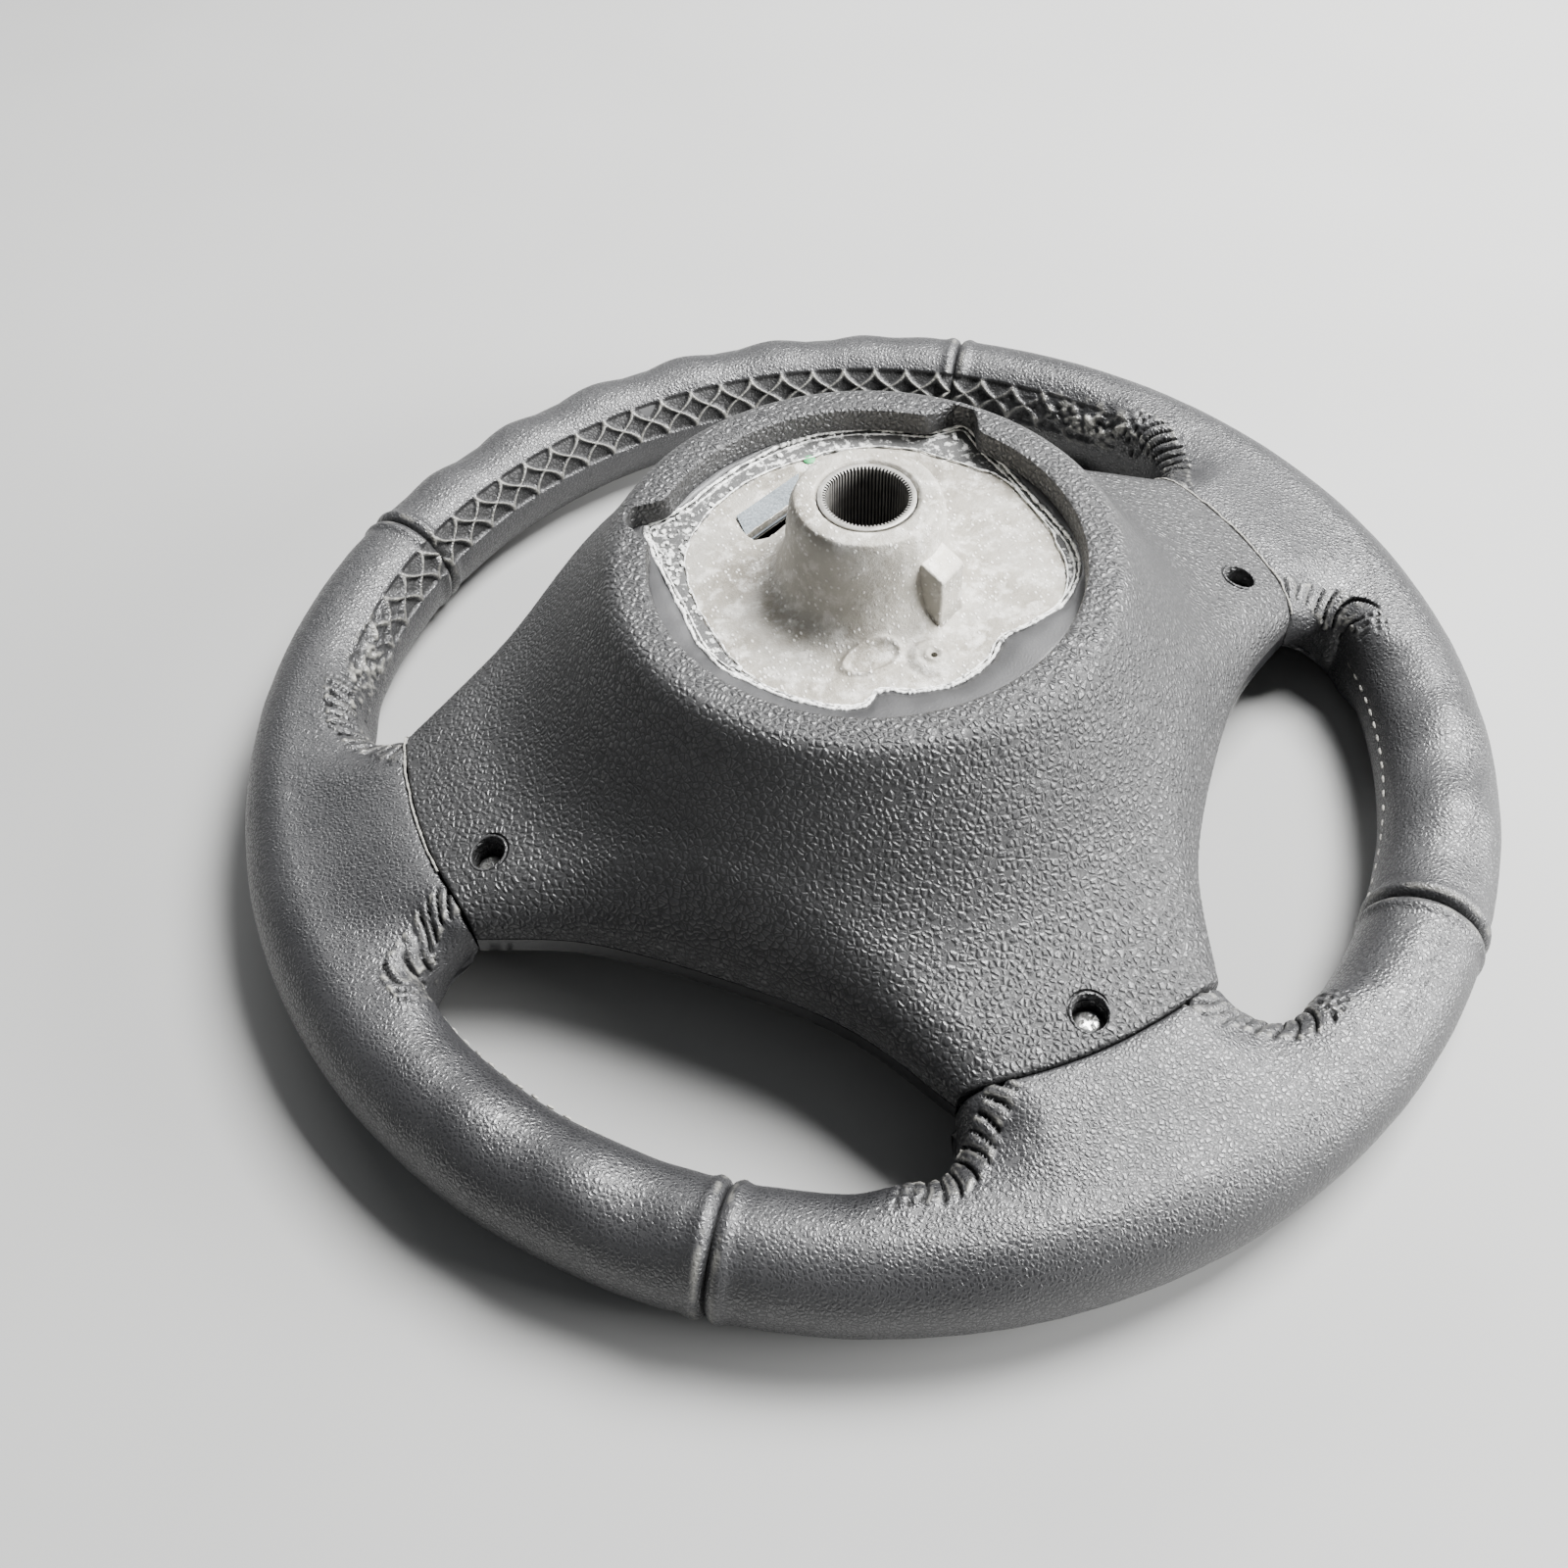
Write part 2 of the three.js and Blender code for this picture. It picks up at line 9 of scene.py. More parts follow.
import bpy
import numpy as np
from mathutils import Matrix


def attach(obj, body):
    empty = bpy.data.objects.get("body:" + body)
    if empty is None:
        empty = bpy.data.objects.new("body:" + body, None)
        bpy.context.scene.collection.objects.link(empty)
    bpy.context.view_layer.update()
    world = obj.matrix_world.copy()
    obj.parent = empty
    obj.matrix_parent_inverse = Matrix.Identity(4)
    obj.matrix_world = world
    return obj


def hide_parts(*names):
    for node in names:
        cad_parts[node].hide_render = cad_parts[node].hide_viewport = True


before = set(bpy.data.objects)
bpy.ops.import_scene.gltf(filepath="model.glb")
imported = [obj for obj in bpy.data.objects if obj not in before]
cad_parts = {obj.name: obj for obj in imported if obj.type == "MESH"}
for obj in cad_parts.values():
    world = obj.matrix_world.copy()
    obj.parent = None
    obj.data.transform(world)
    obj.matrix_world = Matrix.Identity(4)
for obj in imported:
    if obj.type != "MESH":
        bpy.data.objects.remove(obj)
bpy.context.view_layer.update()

# ---- camera, light and floor ----------------------------------------------------------------------
# The wheel is looked down on from its lower left, close by, so the near rim is large in the view.
# Three wide soft lamps and a grey sky stand in for a studio, and a plain pale board is the floor.

EYE = (-0.141852, -0.277203, 0.382601)
EYE_TURN = (38.45057, 1.53710, -24.48141)
SENSOR = 36.0


def place_camera():
    """The view from the lower left, with a lens as long as the sensor is wide."""
    lens = bpy.data.cameras.new("camera")
    lens.sensor_width = SENSOR
    lens.lens = SENSOR
    lens.clip_start = 0.01
    camera = bpy.data.objects.new("camera", lens)
    camera.location = EYE
    camera.rotation_euler = [math.radians(angle) for angle in EYE_TURN]
    bpy.context.scene.collection.objects.link(camera)
    bpy.context.scene.camera = camera


def soft_lamp(name, place, aim, width, height, watts):
    """A rectangular lamp at `place` that faces `aim`."""
    data = bpy.data.lights.new(name, "AREA")
    data.shape = "RECTANGLE"
    data.size = width
    data.size_y = height
    data.energy = watts
    lamp = bpy.data.objects.new(name, data)
    lamp.location = place
    x, y, z = np.array(aim) - np.array(place)
    lamp.rotation_euler = (math.atan2(math.hypot(x, y), -z), 0, math.atan2(y, x) - math.pi / 2)
    bpy.context.scene.collection.objects.link(lamp)


def light_sky(grey, strength):
    """An even sky of one colour."""
    world = bpy.data.worlds.new("sky")
    world.use_nodes = True
    background = world.node_tree.nodes["Background"]
    background.inputs["Color"].default_value = (*grey, 1)
    background.inputs["Strength"].default_value = strength
    bpy.context.scene.world = world


def node_material(name):
    """A new material with its Principled BSDF: (material, nodes, links, shader)."""
    material = bpy.data.materials.new(name)
    material.use_nodes = True
    tree = material.node_tree
    return material, tree.nodes, tree.links, tree.nodes["Principled BSDF"]


def pale_floor():
    """A large square board of pale, matt, faintly mottled grey at z = 0."""
    material, nodes, links, shader = node_material("pale_board")
    position = nodes.new("ShaderNodeNewGeometry")
    mottle = nodes.new("ShaderNodeTexNoise")
    mottle.inputs["Scale"].default_value = 7
    colour = nodes.new("ShaderNodeValToRGB")
    colour.color_ramp.elements[0].color = (0.27, 0.27, 0.265, 1)
    colour.color_ramp.elements[1].color = (0.31, 0.31, 0.305, 1)
    links.new(position.outputs["Position"], mottle.inputs["Vector"])
    links.new(mottle.outputs["Fac"], colour.inputs["Fac"])
    links.new(colour.outputs["Color"], shader.inputs["Base Color"])
    shader.inputs["Roughness"].default_value = 0.9
    reach = 6.0
    mesh = bpy.data.meshes.new("floor")
    corners = [(-reach, -reach, 0), (reach, -reach, 0), (reach, reach, 0), (-reach, reach, 0)]
    mesh.from_pydata(corners, [], [(0, 1, 2, 3)])
    mesh.materials.append(material)
    floor = bpy.data.objects.new("floor", mesh)
    bpy.context.scene.collection.objects.link(floor)


place_camera()
light_sky((0.93, 0.96, 1.0), 0.20)
soft_lamp("overhead_lamp", (0.78, 0.16, 1.25), (0, -0.08, 0), 0.75, 0.62, 122)
soft_lamp("far_window", (0.05, 1.5, 1.0), (0, 0, 0.05), 1.2, 0.35, 14)
soft_lamp("right_window", (1.35, -0.85, 0.55), (0, 0, 0.05), 1.0, 0.55, 88)
pale_floor()

# ---- leather rim wrap -----------------------------------------------------------------------------
# Dark pebbled leather in four pieces, butted at 38 degrees from the top and bottom of the wheel.
# Each is stretched over the foam, runs down the spoke roots and is glued into the groove there.

RIM_RADIUS = 168.7
RIM_HALF_WIDTH = 16.3
RIM_HALF_HEIGHT = 17.7
RIM_TOP = 2 * RIM_HALF_HEIGHT
GROOVE_RADIUS = 134.3
SEAM = 38.0
INNER_RADIUS = RIM_RADIUS - RIM_HALF_WIDTH
TURN_OVER = 11.0
BACK_ROWS = 88
OUTER_ROWS = 60
FRONT_ROWS = 26
ROOT_SHOULDER = 13.0


def lumps(points, size, seed):
    """Smooth random lumps from -1 to 1 about `size` across: random numbers on a cubic lattice, mixed
    between the eight corners of each cell with the weights 3 f^2 - 2 f^3."""
    table = np.random.default_rng(seed).uniform(-1, 1, (32, 32, 32))
    cell = np.asarray(points) / size + 1024
    base = np.floor(cell).astype(int)
    share = cell - base
    share = share * share * (3 - 2 * share)
    total = np.zeros(cell.shape[:-1])
    for corner in np.ndindex(2, 2, 2):
        weight = np.prod(np.where(np.array(corner) == 1, share, 1 - share), axis=-1)
        index = (base + np.array(corner)) % 32
        total += weight * table[index[..., 0], index[..., 1], index[..., 2]]
    return total


def rise(x, start, end):
    """Goes smoothly from 0 at `start` to 1 at `end`: 3 t^2 - 2 t^3."""
    t = np.clip((x - start) / (end - start), 0, 1)
    return t * t * (3 - 2 * t)


def bump(x, centre, half):
    """A bell that is 1 at `centre` and e^-1 at `half` from it."""
    return np.exp(-(((x - centre) / half) ** 2))


def normals_of(grid, wrap_rows, wrap_columns):
    """Unit normals of a grid of points: the cross product of its two central differences."""
    def step(axis, wrap):
        """Difference of the points on the two sides."""
        if wrap:
            return np.roll(grid, -1, axis) - np.roll(grid, 1, axis)
        return np.gradient(grid, axis=axis)
    normal = np.cross(step(1, wrap_columns), step(0, wrap_rows))
    return normal / np.maximum(np.linalg.norm(normal, axis=-1, keepdims=True), 1e-9)


def skin(name, grid, wrap_rows=False, wrap_columns=False, cap_columns=False, cap_rows=False, sharp=None,
         wear_and_painted_shade=None):
    """A mesh object from a grid of points in millimetres. Neighbours share faces, `wrap` joins the last
    row or column to the first, and a cap closes both ends with one face each. `wear_and_painted_shade`
    is kept at each point: above 0 where the surface is rubbed pale, below 0 where a recess is painted
    dark as painted shade."""
    rows, columns = grid.shape[:2]
    number = np.arange(rows * columns).reshape(rows, columns)
    low = number if wrap_rows else number[:-1]
    high = np.roll(number, -1, 0) if wrap_rows else number[1:]
    if wrap_columns:
        pairs = [low, np.roll(low, -1, 1), np.roll(high, -1, 1), high]
    else:
        pairs = [low[:, :-1], low[:, 1:], high[:, 1:], high[:, :-1]]
    faces = np.stack(pairs, -1).reshape(-1, 4).tolist()
    if cap_columns:
        faces += [number[:, 0].tolist(), number[::-1, -1].tolist()]
    if cap_rows:
        faces += [number[0, ::-1].tolist(), number[-1].tolist()]
    mesh = bpy.data.meshes.new(name)
    mesh.from_pydata((grid.reshape(-1, 3) / 1000).tolist(), [], faces)
    mesh.polygons.foreach_set("use_smooth", np.ones(len(faces), bool))
    if wear_and_painted_shade is not None:
        # Below 0 this attribute paints recesses dark as painted shade; above 0 it is rubbed pale wear.
        values = mesh.attributes.new("wear_and_painted_shade", "FLOAT", "POINT").data
        values.foreach_set("value", wear_and_painted_shade.ravel().astype(np.float32))
    mesh.update()
    if sharp:
        mesh.set_sharp_from_angle(angle=math.radians(sharp))
    piece = bpy.data.objects.new(name, mesh)
    bpy.context.scene.collection.objects.link(piece)
    return turn_outwards(piece)


def turn_outwards(piece):
    """Flips a closed mesh whose signed volume, the sum of its corner triple products, is negative."""
    mesh = piece.data
    mesh.calc_loop_triangles()
    points = np.empty(len(mesh.vertices) * 3)
    mesh.vertices.foreach_get("co", points)
    corners = np.empty(len(mesh.loop_triangles) * 3, dtype=np.int32)
    mesh.loop_triangles.foreach_get("vertices", corners)
    a, b, c = points.reshape(-1, 3)[corners.reshape(-1, 3)].transpose(1, 0, 2)
    if np.einsum("ij,ij->", a, np.cross(b, c)) < 0:
        mesh.flip_normals()
    return piece


def finish_piece(piece, material, body="wheel", replaces=()):
    """Gives a piece its material and slot, and the body and the CAD nodes that it stands for."""
    piece.data.materials.clear()
    piece.data.materials.append(material)
    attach(piece, body)
    for node in replaces:
        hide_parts(node)
    return piece


def ease(v, softness):
    """A soft corner: half of v plus the root of v^2 + softness^2, near 0 below 0 and near v above."""
    return 0.5 * (v + np.sqrt(v * v + softness * softness))


# A spoke root's columns: bearing at the rim of its two edges, bearing at the groove, fillet widths,
# and the height at the groove of the back and front faces
ROOTS = {
    "right": {"rim": (-10.5, 20.5), "groove": (-13.0, 18.3), "fillet": (3.4, 5.2)},
    "left": {"rim": (159.5, 190.5), "groove": (161.7, 193.0), "fillet": (5.2, 3.4)},
    "bottom": {"rim": (252.9, 287.1), "groove": (253.6, 286.4), "fillet": (4.2, 4.2)},
}
BACK_EDGE = 32.6
BACK_MIDDLE = 39.7
FRONT_MIDDLE = 9.5
FRONT_EDGE_RISE = 13.5
FRONT_EDGE_WIDTH = 15.0


def even(start, end, spacing):
    """Bearings from start to end about `spacing` mm apart at the rim, the end left out."""
    count = max(2, int(abs(end - start) * RIM_RADIUS * math.pi / 180 / spacing))
    return np.linspace(start, end, count, endpoint=False)


def wrap_columns_of(start, end, root, spacing):
    """Rim bearing, root share, groove shift and distance from the root's edge for each column.
    In a fillet, with b going from 0 to 90 degrees, the bearing moves by the fillet's width times
    sin b and the share is 1 - cos b, which is a round corner in plan."""
    if root is None:
        bearing = np.append(even(start, end, spacing), end)
        return bearing, np.zeros_like(bearing), np.zeros_like(bearing), np.zeros_like(bearing)
    (first, last), (groove_first, groove_last) = root["rim"], root["groove"]
    before, after = root["fillet"]
    b = np.linspace(0, math.pi / 2, 44)
    inner = first + (last - first) * (0.5 - 0.5 * np.cos(np.linspace(0, math.pi, 96)))[1:-1]
    parts = [even(start, first - before, spacing), first - before + before * np.sin(b), inner,
             last + after - after * np.sin(b[::-1])]
    tail = np.sort(even(end, last + after, spacing))
    bearing = np.concatenate([*parts, tail])
    corner = 1 - np.cos(b)
    share = np.concatenate([
        np.zeros(len(parts[0])), corner, np.ones(len(inner)), corner[::-1], np.zeros(len(tail)),
    ])
    along = np.clip((bearing - first) / (last - first), 0, 1)
    shift = (groove_first + (groove_last - groove_first) * along) - (first + (last - first) * along)
    groove = groove_first + (groove_last - groove_first) * along
    away = np.minimum(groove - groove_first, groove_last - groove) * math.pi / 180 * GROOVE_RADIUS
    return bearing, share, shift * rise(into_root(bearing, root), -12, 0), np.maximum(away, 0)


def beside_roots(bearing, start, end):
    """1 in the fillets beside the spoke roots, falling to 0 from `start` to `end` degrees past them."""
    nearest = np.full_like(bearing, 99.0)
    for root in ROOTS.values():
        for place, fillet in zip(root["rim"], root["fillet"]):
            turn = np.abs((bearing - place + 180) % 360 - 180)
            nearest = np.minimum(nearest, np.maximum(turn - fillet, 0))
    return 1 - rise(nearest, start, end)


def into_root(bearing, root):
    """Distance from the nearer side edge of a root in millimetres, above 0 inside it."""
    if root is None:
        return np.full_like(bearing, -99.0)
    first, last = root["rim"]
    return np.minimum(bearing - first, last - bearing) * math.pi / 180 * INNER_RADIUS


def nearest_on(points, line):
    """Distance from each point to a plan line, and the distance along the line to its nearest place:
    each point is dropped on every segment a + t b with t = (p - a).b / b.b kept between 0 and 1."""
    start, step = line[:-1], np.diff(line, axis=0)
    length = np.linalg.norm(step, axis=1)
    gap = points[..., None, :] - start
    t = np.clip(np.sum(gap * step, -1) / length ** 2, 0, 1)
    distance = np.linalg.norm(gap - t[..., None] * step, axis=-1)
    best = np.argmin(distance, -1)[..., None]
    run = np.cumsum(length) - length + t * length
    return np.take_along_axis(distance, best, -1)[..., 0], np.take_along_axis(run, best, -1)[..., 0]


def squared(angle, fullness):
    """Cosine and sine of an oval that is drawn out towards its corners: both to the power 1 - 0.45 f."""
    power = 1 - 0.45 * fullness
    x, y = np.cos(angle), np.sin(angle)
    return np.sign(x) * np.abs(x) ** power, np.sign(y) * np.abs(y) ** power


def from_inner_edge(plan, share):
    """Distance in plan to the wrap's inner edge, leaving out the groove, and the run along it. The
    edge is the first row of the plan, in one stretch on each side of a root."""
    shared = np.where(share < 1)[0]
    stretches = np.split(shared, np.where(np.diff(shared) > 1)[0] + 1)
    distance, run = np.stack([nearest_on(plan, plan[0, columns]) for columns in stretches], 1)
    pick = np.argmin(distance, 0)[None]
    return (np.take_along_axis(values, pick, 0)[0] for values in (distance, run))


def wrap_surface(bearing, share, shift, away, inside):
    """The bare wrap: in each column an oval rim section, moved by `share` towards a section that runs
    on to the groove. The back's height is middle + (top - middle) (1 - (1 - d / turn)^n)^(1 / n), with
    d the distance in plan from the wrap's inner edge. Returns the grid of points, the angle round the
    section (180 at its inner side, 90 at the back, 0 outside, -90 at the front), and d with the run
    along that edge."""
    corner = 0.38
    at_edge = np.exp(-away / 4)
    soft = 0.035 + 0.13 * at_edge
    shoulder = np.sqrt(1 - (1 - np.clip(away / ROOT_SHOULDER, 0, 1)) ** 2)
    back = BACK_EDGE + (BACK_MIDDLE - BACK_EDGE) * shoulder
    front = FRONT_MIDDLE + FRONT_EDGE_RISE * (1 - np.clip(away / FRONT_EDGE_WIDTH, 0, 1)) ** 1.25
    reach = RIM_RADIUS - GROOVE_RADIUS
    middle = (back + front) / 2
    level = RIM_HALF_HEIGHT + (middle - RIM_HALF_HEIGHT) * rise(inside, -10, 6)
    near = np.maximum(beside_roots(bearing, 1.0, 7.0), share > 0)

    def quarter(rows):
        """A quarter of the section: 0 to 1 round it, radius, the oval's rise, `across` and `up`."""
        t = np.linspace(0, 1, rows, endpoint=False)[:, None]
        across = ease((t - corner) / (1 - corner), soft) / ease(1.0, soft)
        across = (across - across[0]) / (1 - across[0])
        up = 1 - ease(1 - t / corner, 0.10 + 0.55 * at_edge)
        up = (up - up[0]) / (up[-1] - up[0])
        oval_x, oval_y = squared(np.radians(180 - 90 * t) + 0 * near, near)
        mixed = share + (rise(inside, -11, 9) - share) * rise(t, corner, 0.8)
        root_r = GROOVE_RADIUS + reach * across
        radius = (RIM_RADIUS + RIM_HALF_WIDTH * oval_x) * (1 - mixed) + root_r * mixed
        return t, radius, RIM_HALF_HEIGHT * oval_y, across, up

    t, first_r, _, across, up = quarter(BACK_ROWS)
    section = [180 - 90 * t]
    turned = np.radians(bearing + shift * np.clip((RIM_RADIUS - first_r) / reach, 0, 1))
    plan = np.stack([first_r * np.cos(turned), first_r * np.sin(turned)], -1)
    from_edge, run = from_inner_edge(plan, share)
    gentle = BACK_EDGE + (BACK_MIDDLE - BACK_EDGE) * rise(away, 0, 18)
    back = back + (gentle - back) * np.minimum(1, 3 * across)
    top = back + (RIM_TOP - back) * rise(first_r, GROOVE_RADIUS, RIM_RADIUS)
    top = RIM_TOP + (top - RIM_TOP) * rise(inside, -14, 0)
    edge_turn = 2.0 + (TURN_OVER - 2.0) * rise(first_r, GROOVE_RADIUS + 0.5, GROOVE_RADIUS + 12)
    turn = RIM_HALF_WIDTH + (edge_turn - RIM_HALF_WIDTH) * rise(inside, -16, 3)
    power = 2 / (1 - 0.45 * near * (1 - rise(inside, -12, 0)))
    height = (1 - (1 - np.clip(from_edge / turn, 0, 1)) ** power) ** (1 / power)
    first_z = level + (top - level) * height * (1 - share * (1 - up))

    outer = np.linspace(0, 2, OUTER_ROWS + 1)[:, None]
    section.append(90 - 90 * outer)
    outer = np.radians(90 - 90 * outer) + 0 * share
    outer_r = RIM_RADIUS + RIM_HALF_WIDTH * np.cos(outer)
    outer_z = RIM_HALF_HEIGHT + RIM_HALF_HEIGHT * np.sin(outer)

    t, last_r, oval_rise, across, up = quarter(FRONT_ROWS)
    section.append((90 * t - 180)[:0:-1])
    root_front = middle - (middle - front * (1 - rise(across, -0.15, 0.85))) * up
    shift_level = level - RIM_HALF_HEIGHT * (1 - share) - middle * share
    last_z = (RIM_HALF_HEIGHT - oval_rise) * (1 - share) + root_front * share + shift_level * (1 - t) ** 3
    r = np.concatenate([first_r, outer_r, last_r[:0:-1]])
    z = np.concatenate([first_z, outer_z, last_z[:0:-1]])
    section = np.concatenate(section) + 0 * share
    theta = np.radians(bearing + shift * np.clip((RIM_RADIUS - r) / reach, 0, 1))
    beyond = np.full((len(r) - len(from_edge), len(bearing)), 99.0)
    edge = np.concatenate([from_edge, beyond]), np.concatenate([run, beyond])
    return np.stack([r * np.cos(theta), r * np.sin(theta), z], -1), section, edge


BAND_MIDDLE = 149.0
BAND_HALF = 5.4
DIAMOND = 11.0


def band_run(grid):
    """Distance along the laced band, summed from column to column on the row that it follows."""
    line = grid[round((180 - BAND_MIDDLE) / 90 * BACK_ROWS)]
    return np.append(0, np.cumsum(np.linalg.norm(np.diff(line, axis=0), axis=1)))[None, :]


def across_band(section):
    """Distance from the middle of the laced band, in millimetres of leather."""
    return (section - BAND_MIDDLE) * math.pi / 180 * 17


def lacing(run, section):
    """Height and wear-and-shade of the laced band: two families of slanting threads cross every 11 mm, wavy
    as the sine of the distance along them, so they leave two staggered rows of sunk oval cells. The
    threads are rubbed pale, and the sunk cells between them are painted dark as painted shade."""
    across = across_band(section)
    sway = 0.10 * np.sin(2 * math.pi * across / DIAMOND)
    one = run / DIAMOND + across / DIAMOND + sway
    other = run / DIAMOND - across / DIAMOND - sway
    gap_one = np.abs(one - np.round(one)) * DIAMOND * 0.7
    gap_other = np.abs(other - np.round(other)) * DIAMOND * 0.7
    thread = np.maximum(bump(gap_one, 0, 0.75), bump(gap_other, 0, 0.75))
    band = rise(across, -BAND_HALF - 1.2, -BAND_HALF) * (1 - rise(across, BAND_HALF, BAND_HALF + 1.2))
    # The second value pales the threads and paints the sunk cells between them dark as painted shade.
    return band * (1.6 * thread - 1.3), band * (1.5 * thread - 0.75)


GATHER_PITCH = 2.9
GATHER_HALF = 4.6


def gathers(points, distance, run):
    """Height and wear-and-shade of the gathered band beside a crotch: puffed folds of uneven pitch, near
    2.9 mm, between deep slits that slant a little across the band. The folds are rubbed pale and frayed
    at the band's edges, and the slits are painted dark as painted shade. It keeps 5 mm from the wrap's
    inner edge, and 10 mm where it ends at the groove."""
    from_groove = np.hypot(points[..., 0], points[..., 1]) - GROOVE_RADIUS
    across = (distance - 10 + 5 * rise(from_groove, 0, 15)) * 1.25
    phase = run / GATHER_PITCH + 0.10 * across + 0.32 * lumps(points, 8, 41)
    fold = np.abs(phase - np.round(phase)) * 2
    slit = rise(fold, 0.72, 0.97) * rise(lumps(points, 7, 42), -0.85, -0.4)
    puff = 0.5 * np.sqrt(np.clip(1 - fold ** 2, 0, 1))
    reach = GATHER_HALF + 1.4 * lumps(points, 3, 43)
    band = rise(across, -reach - 1.5, -reach) * (1 - rise(across, reach, reach + 1.2))
    pale = 0.08 + 0.30 * bump(fold, 0.5, 0.25) * rise(lumps(points, 2.2, 45), -0.5, 0.5)
    frayed = bump(np.abs(across), reach, 0.9) * rise(lumps(points, 1.3, 46), -0.1, 0.5)
    # The second value pales the folds and frayed edges, and paints the slits dark as painted shade.
    return (band * (puff - 1.8 * slit + 0.12 * lumps(points, 1.4, 44)) + 0.2 * frayed,
            band * (pale - 1.8 * slit) + 0.7 * frayed)


FINGER_PITCH = 11.3
FINGERS_TOP = 91.7
FINGERS_LOW = {"right": -40.0, "left": 220.0}


def wrap_height(points, bearing, section, ends, side):
    """How far the leather stands off the bare wrap: its turned-in ends with a lip beside them, and the
    finger rest's waves, a cosine along the rim that fades at both ends and round the section."""
    from_end = np.minimum(np.abs(bearing - ends[0]), np.abs(bearing - ends[1])) * math.pi / 180 * RIM_RADIUS
    roll = 1.7
    edge = np.clip(1 - from_end / roll, 0, 1)
    height = -1.6 * (1 - np.sqrt(1 - edge * edge * 0.98))
    height = height + 0.7 * bump(from_end, 2.9, 1.4)
    height = height - 0.3 * bump(from_end, 7.0, 2.2) * (0.5 + 0.5 * lumps(points, 5, 3))
    if side == "top":
        wave = np.cos((bearing - FINGERS_TOP) * 2 * math.pi / FINGER_PITCH)
        fade = 1 - rise(np.abs(bearing - FINGERS_TOP), 27, 36)
        height = height - 1.9 * (0.5 + 0.5 * wave) * fade * bump(section, 50, 52)
    if side in FINGERS_LOW:
        aside = bearing - FINGERS_LOW[side]
        wave = np.cos(aside * 2 * math.pi / FINGER_PITCH)
        fade = 1 - rise(np.abs(aside), 11, 18)
        height = height + (2.3 * (0.5 + 0.5 * wave) - 1.2) * fade * bump(section, 85, 44)
    return height


def wrinkles(points, distance):
    """Fine creases that fan out of a crotch: ridged lumps, 1 - |n|, sharpened, fading with distance."""
    fine = 1 - np.abs(lumps(points, 2.6, 11))
    coarse = 1 - np.abs(lumps(points, 5.5, 12))
    return -(0.45 * fine ** 6 + 0.5 * coarse ** 8) * np.exp(-distance / 9)


def crotch_distance(points, crotches):
    """Distance to the nearest crotch, in millimetres."""
    centres = np.array(crotches, float)
    return np.min(np.linalg.norm(points[..., None, :] - centres, axis=-1), axis=-1)


WRAPS = {
    "top": {"span": (90 - SEAM, 90 + SEAM), "root": None, "spacing": 0.62},
    "left": {"span": (90 + SEAM, 270 - SEAM), "root": "left", "spacing": 0.85},
    "bottom": {"span": (270 - SEAM, 270 + SEAM), "root": "bottom", "spacing": 0.85},
    "right": {"span": (-90 + SEAM, 90 - SEAM), "root": "right", "spacing": 0.85},
}
CROTCHES = [
    (148, 50, 26), (-148, 50, 26), (148, -27, 22), (-148, -27, 22), (45, -142, 24), (-45, -142, 24),
]
LACED = {"top": (52, 128), "left": (128, 152), "right": (28, 52)}


def wrap_shape(side, inset=0.0, rows_step=1, columns_step=1):
    """The bare wrap of one section, thinned to every few rows and columns and shrunk by `inset`."""
    wrap = WRAPS[side]
    half_gap = math.degrees(0.15 / RIM_RADIUS)
    start, end = wrap["span"][0] + half_gap, wrap["span"][1] - half_gap
    root = ROOTS[wrap["root"]] if wrap["root"] else None
    bearing, share, shift, away = wrap_columns_of(start, end, root, wrap["spacing"])
    inside = into_root(bearing, root)
    grid, section, edge = wrap_surface(bearing, share, shift, away, inside)
    normal = normals_of(grid, True, False)
    crest = BACK_ROWS + OUTER_ROWS // 2
    outwards = np.sign(np.sum(normal[crest, :, :2] * grid[crest, :, :2]))
    normal = normal * outwards
    if inset:
        return (grid - normal * inset)[::rows_step, ::columns_step]
    return grid, normal, section, bearing, inside, edge


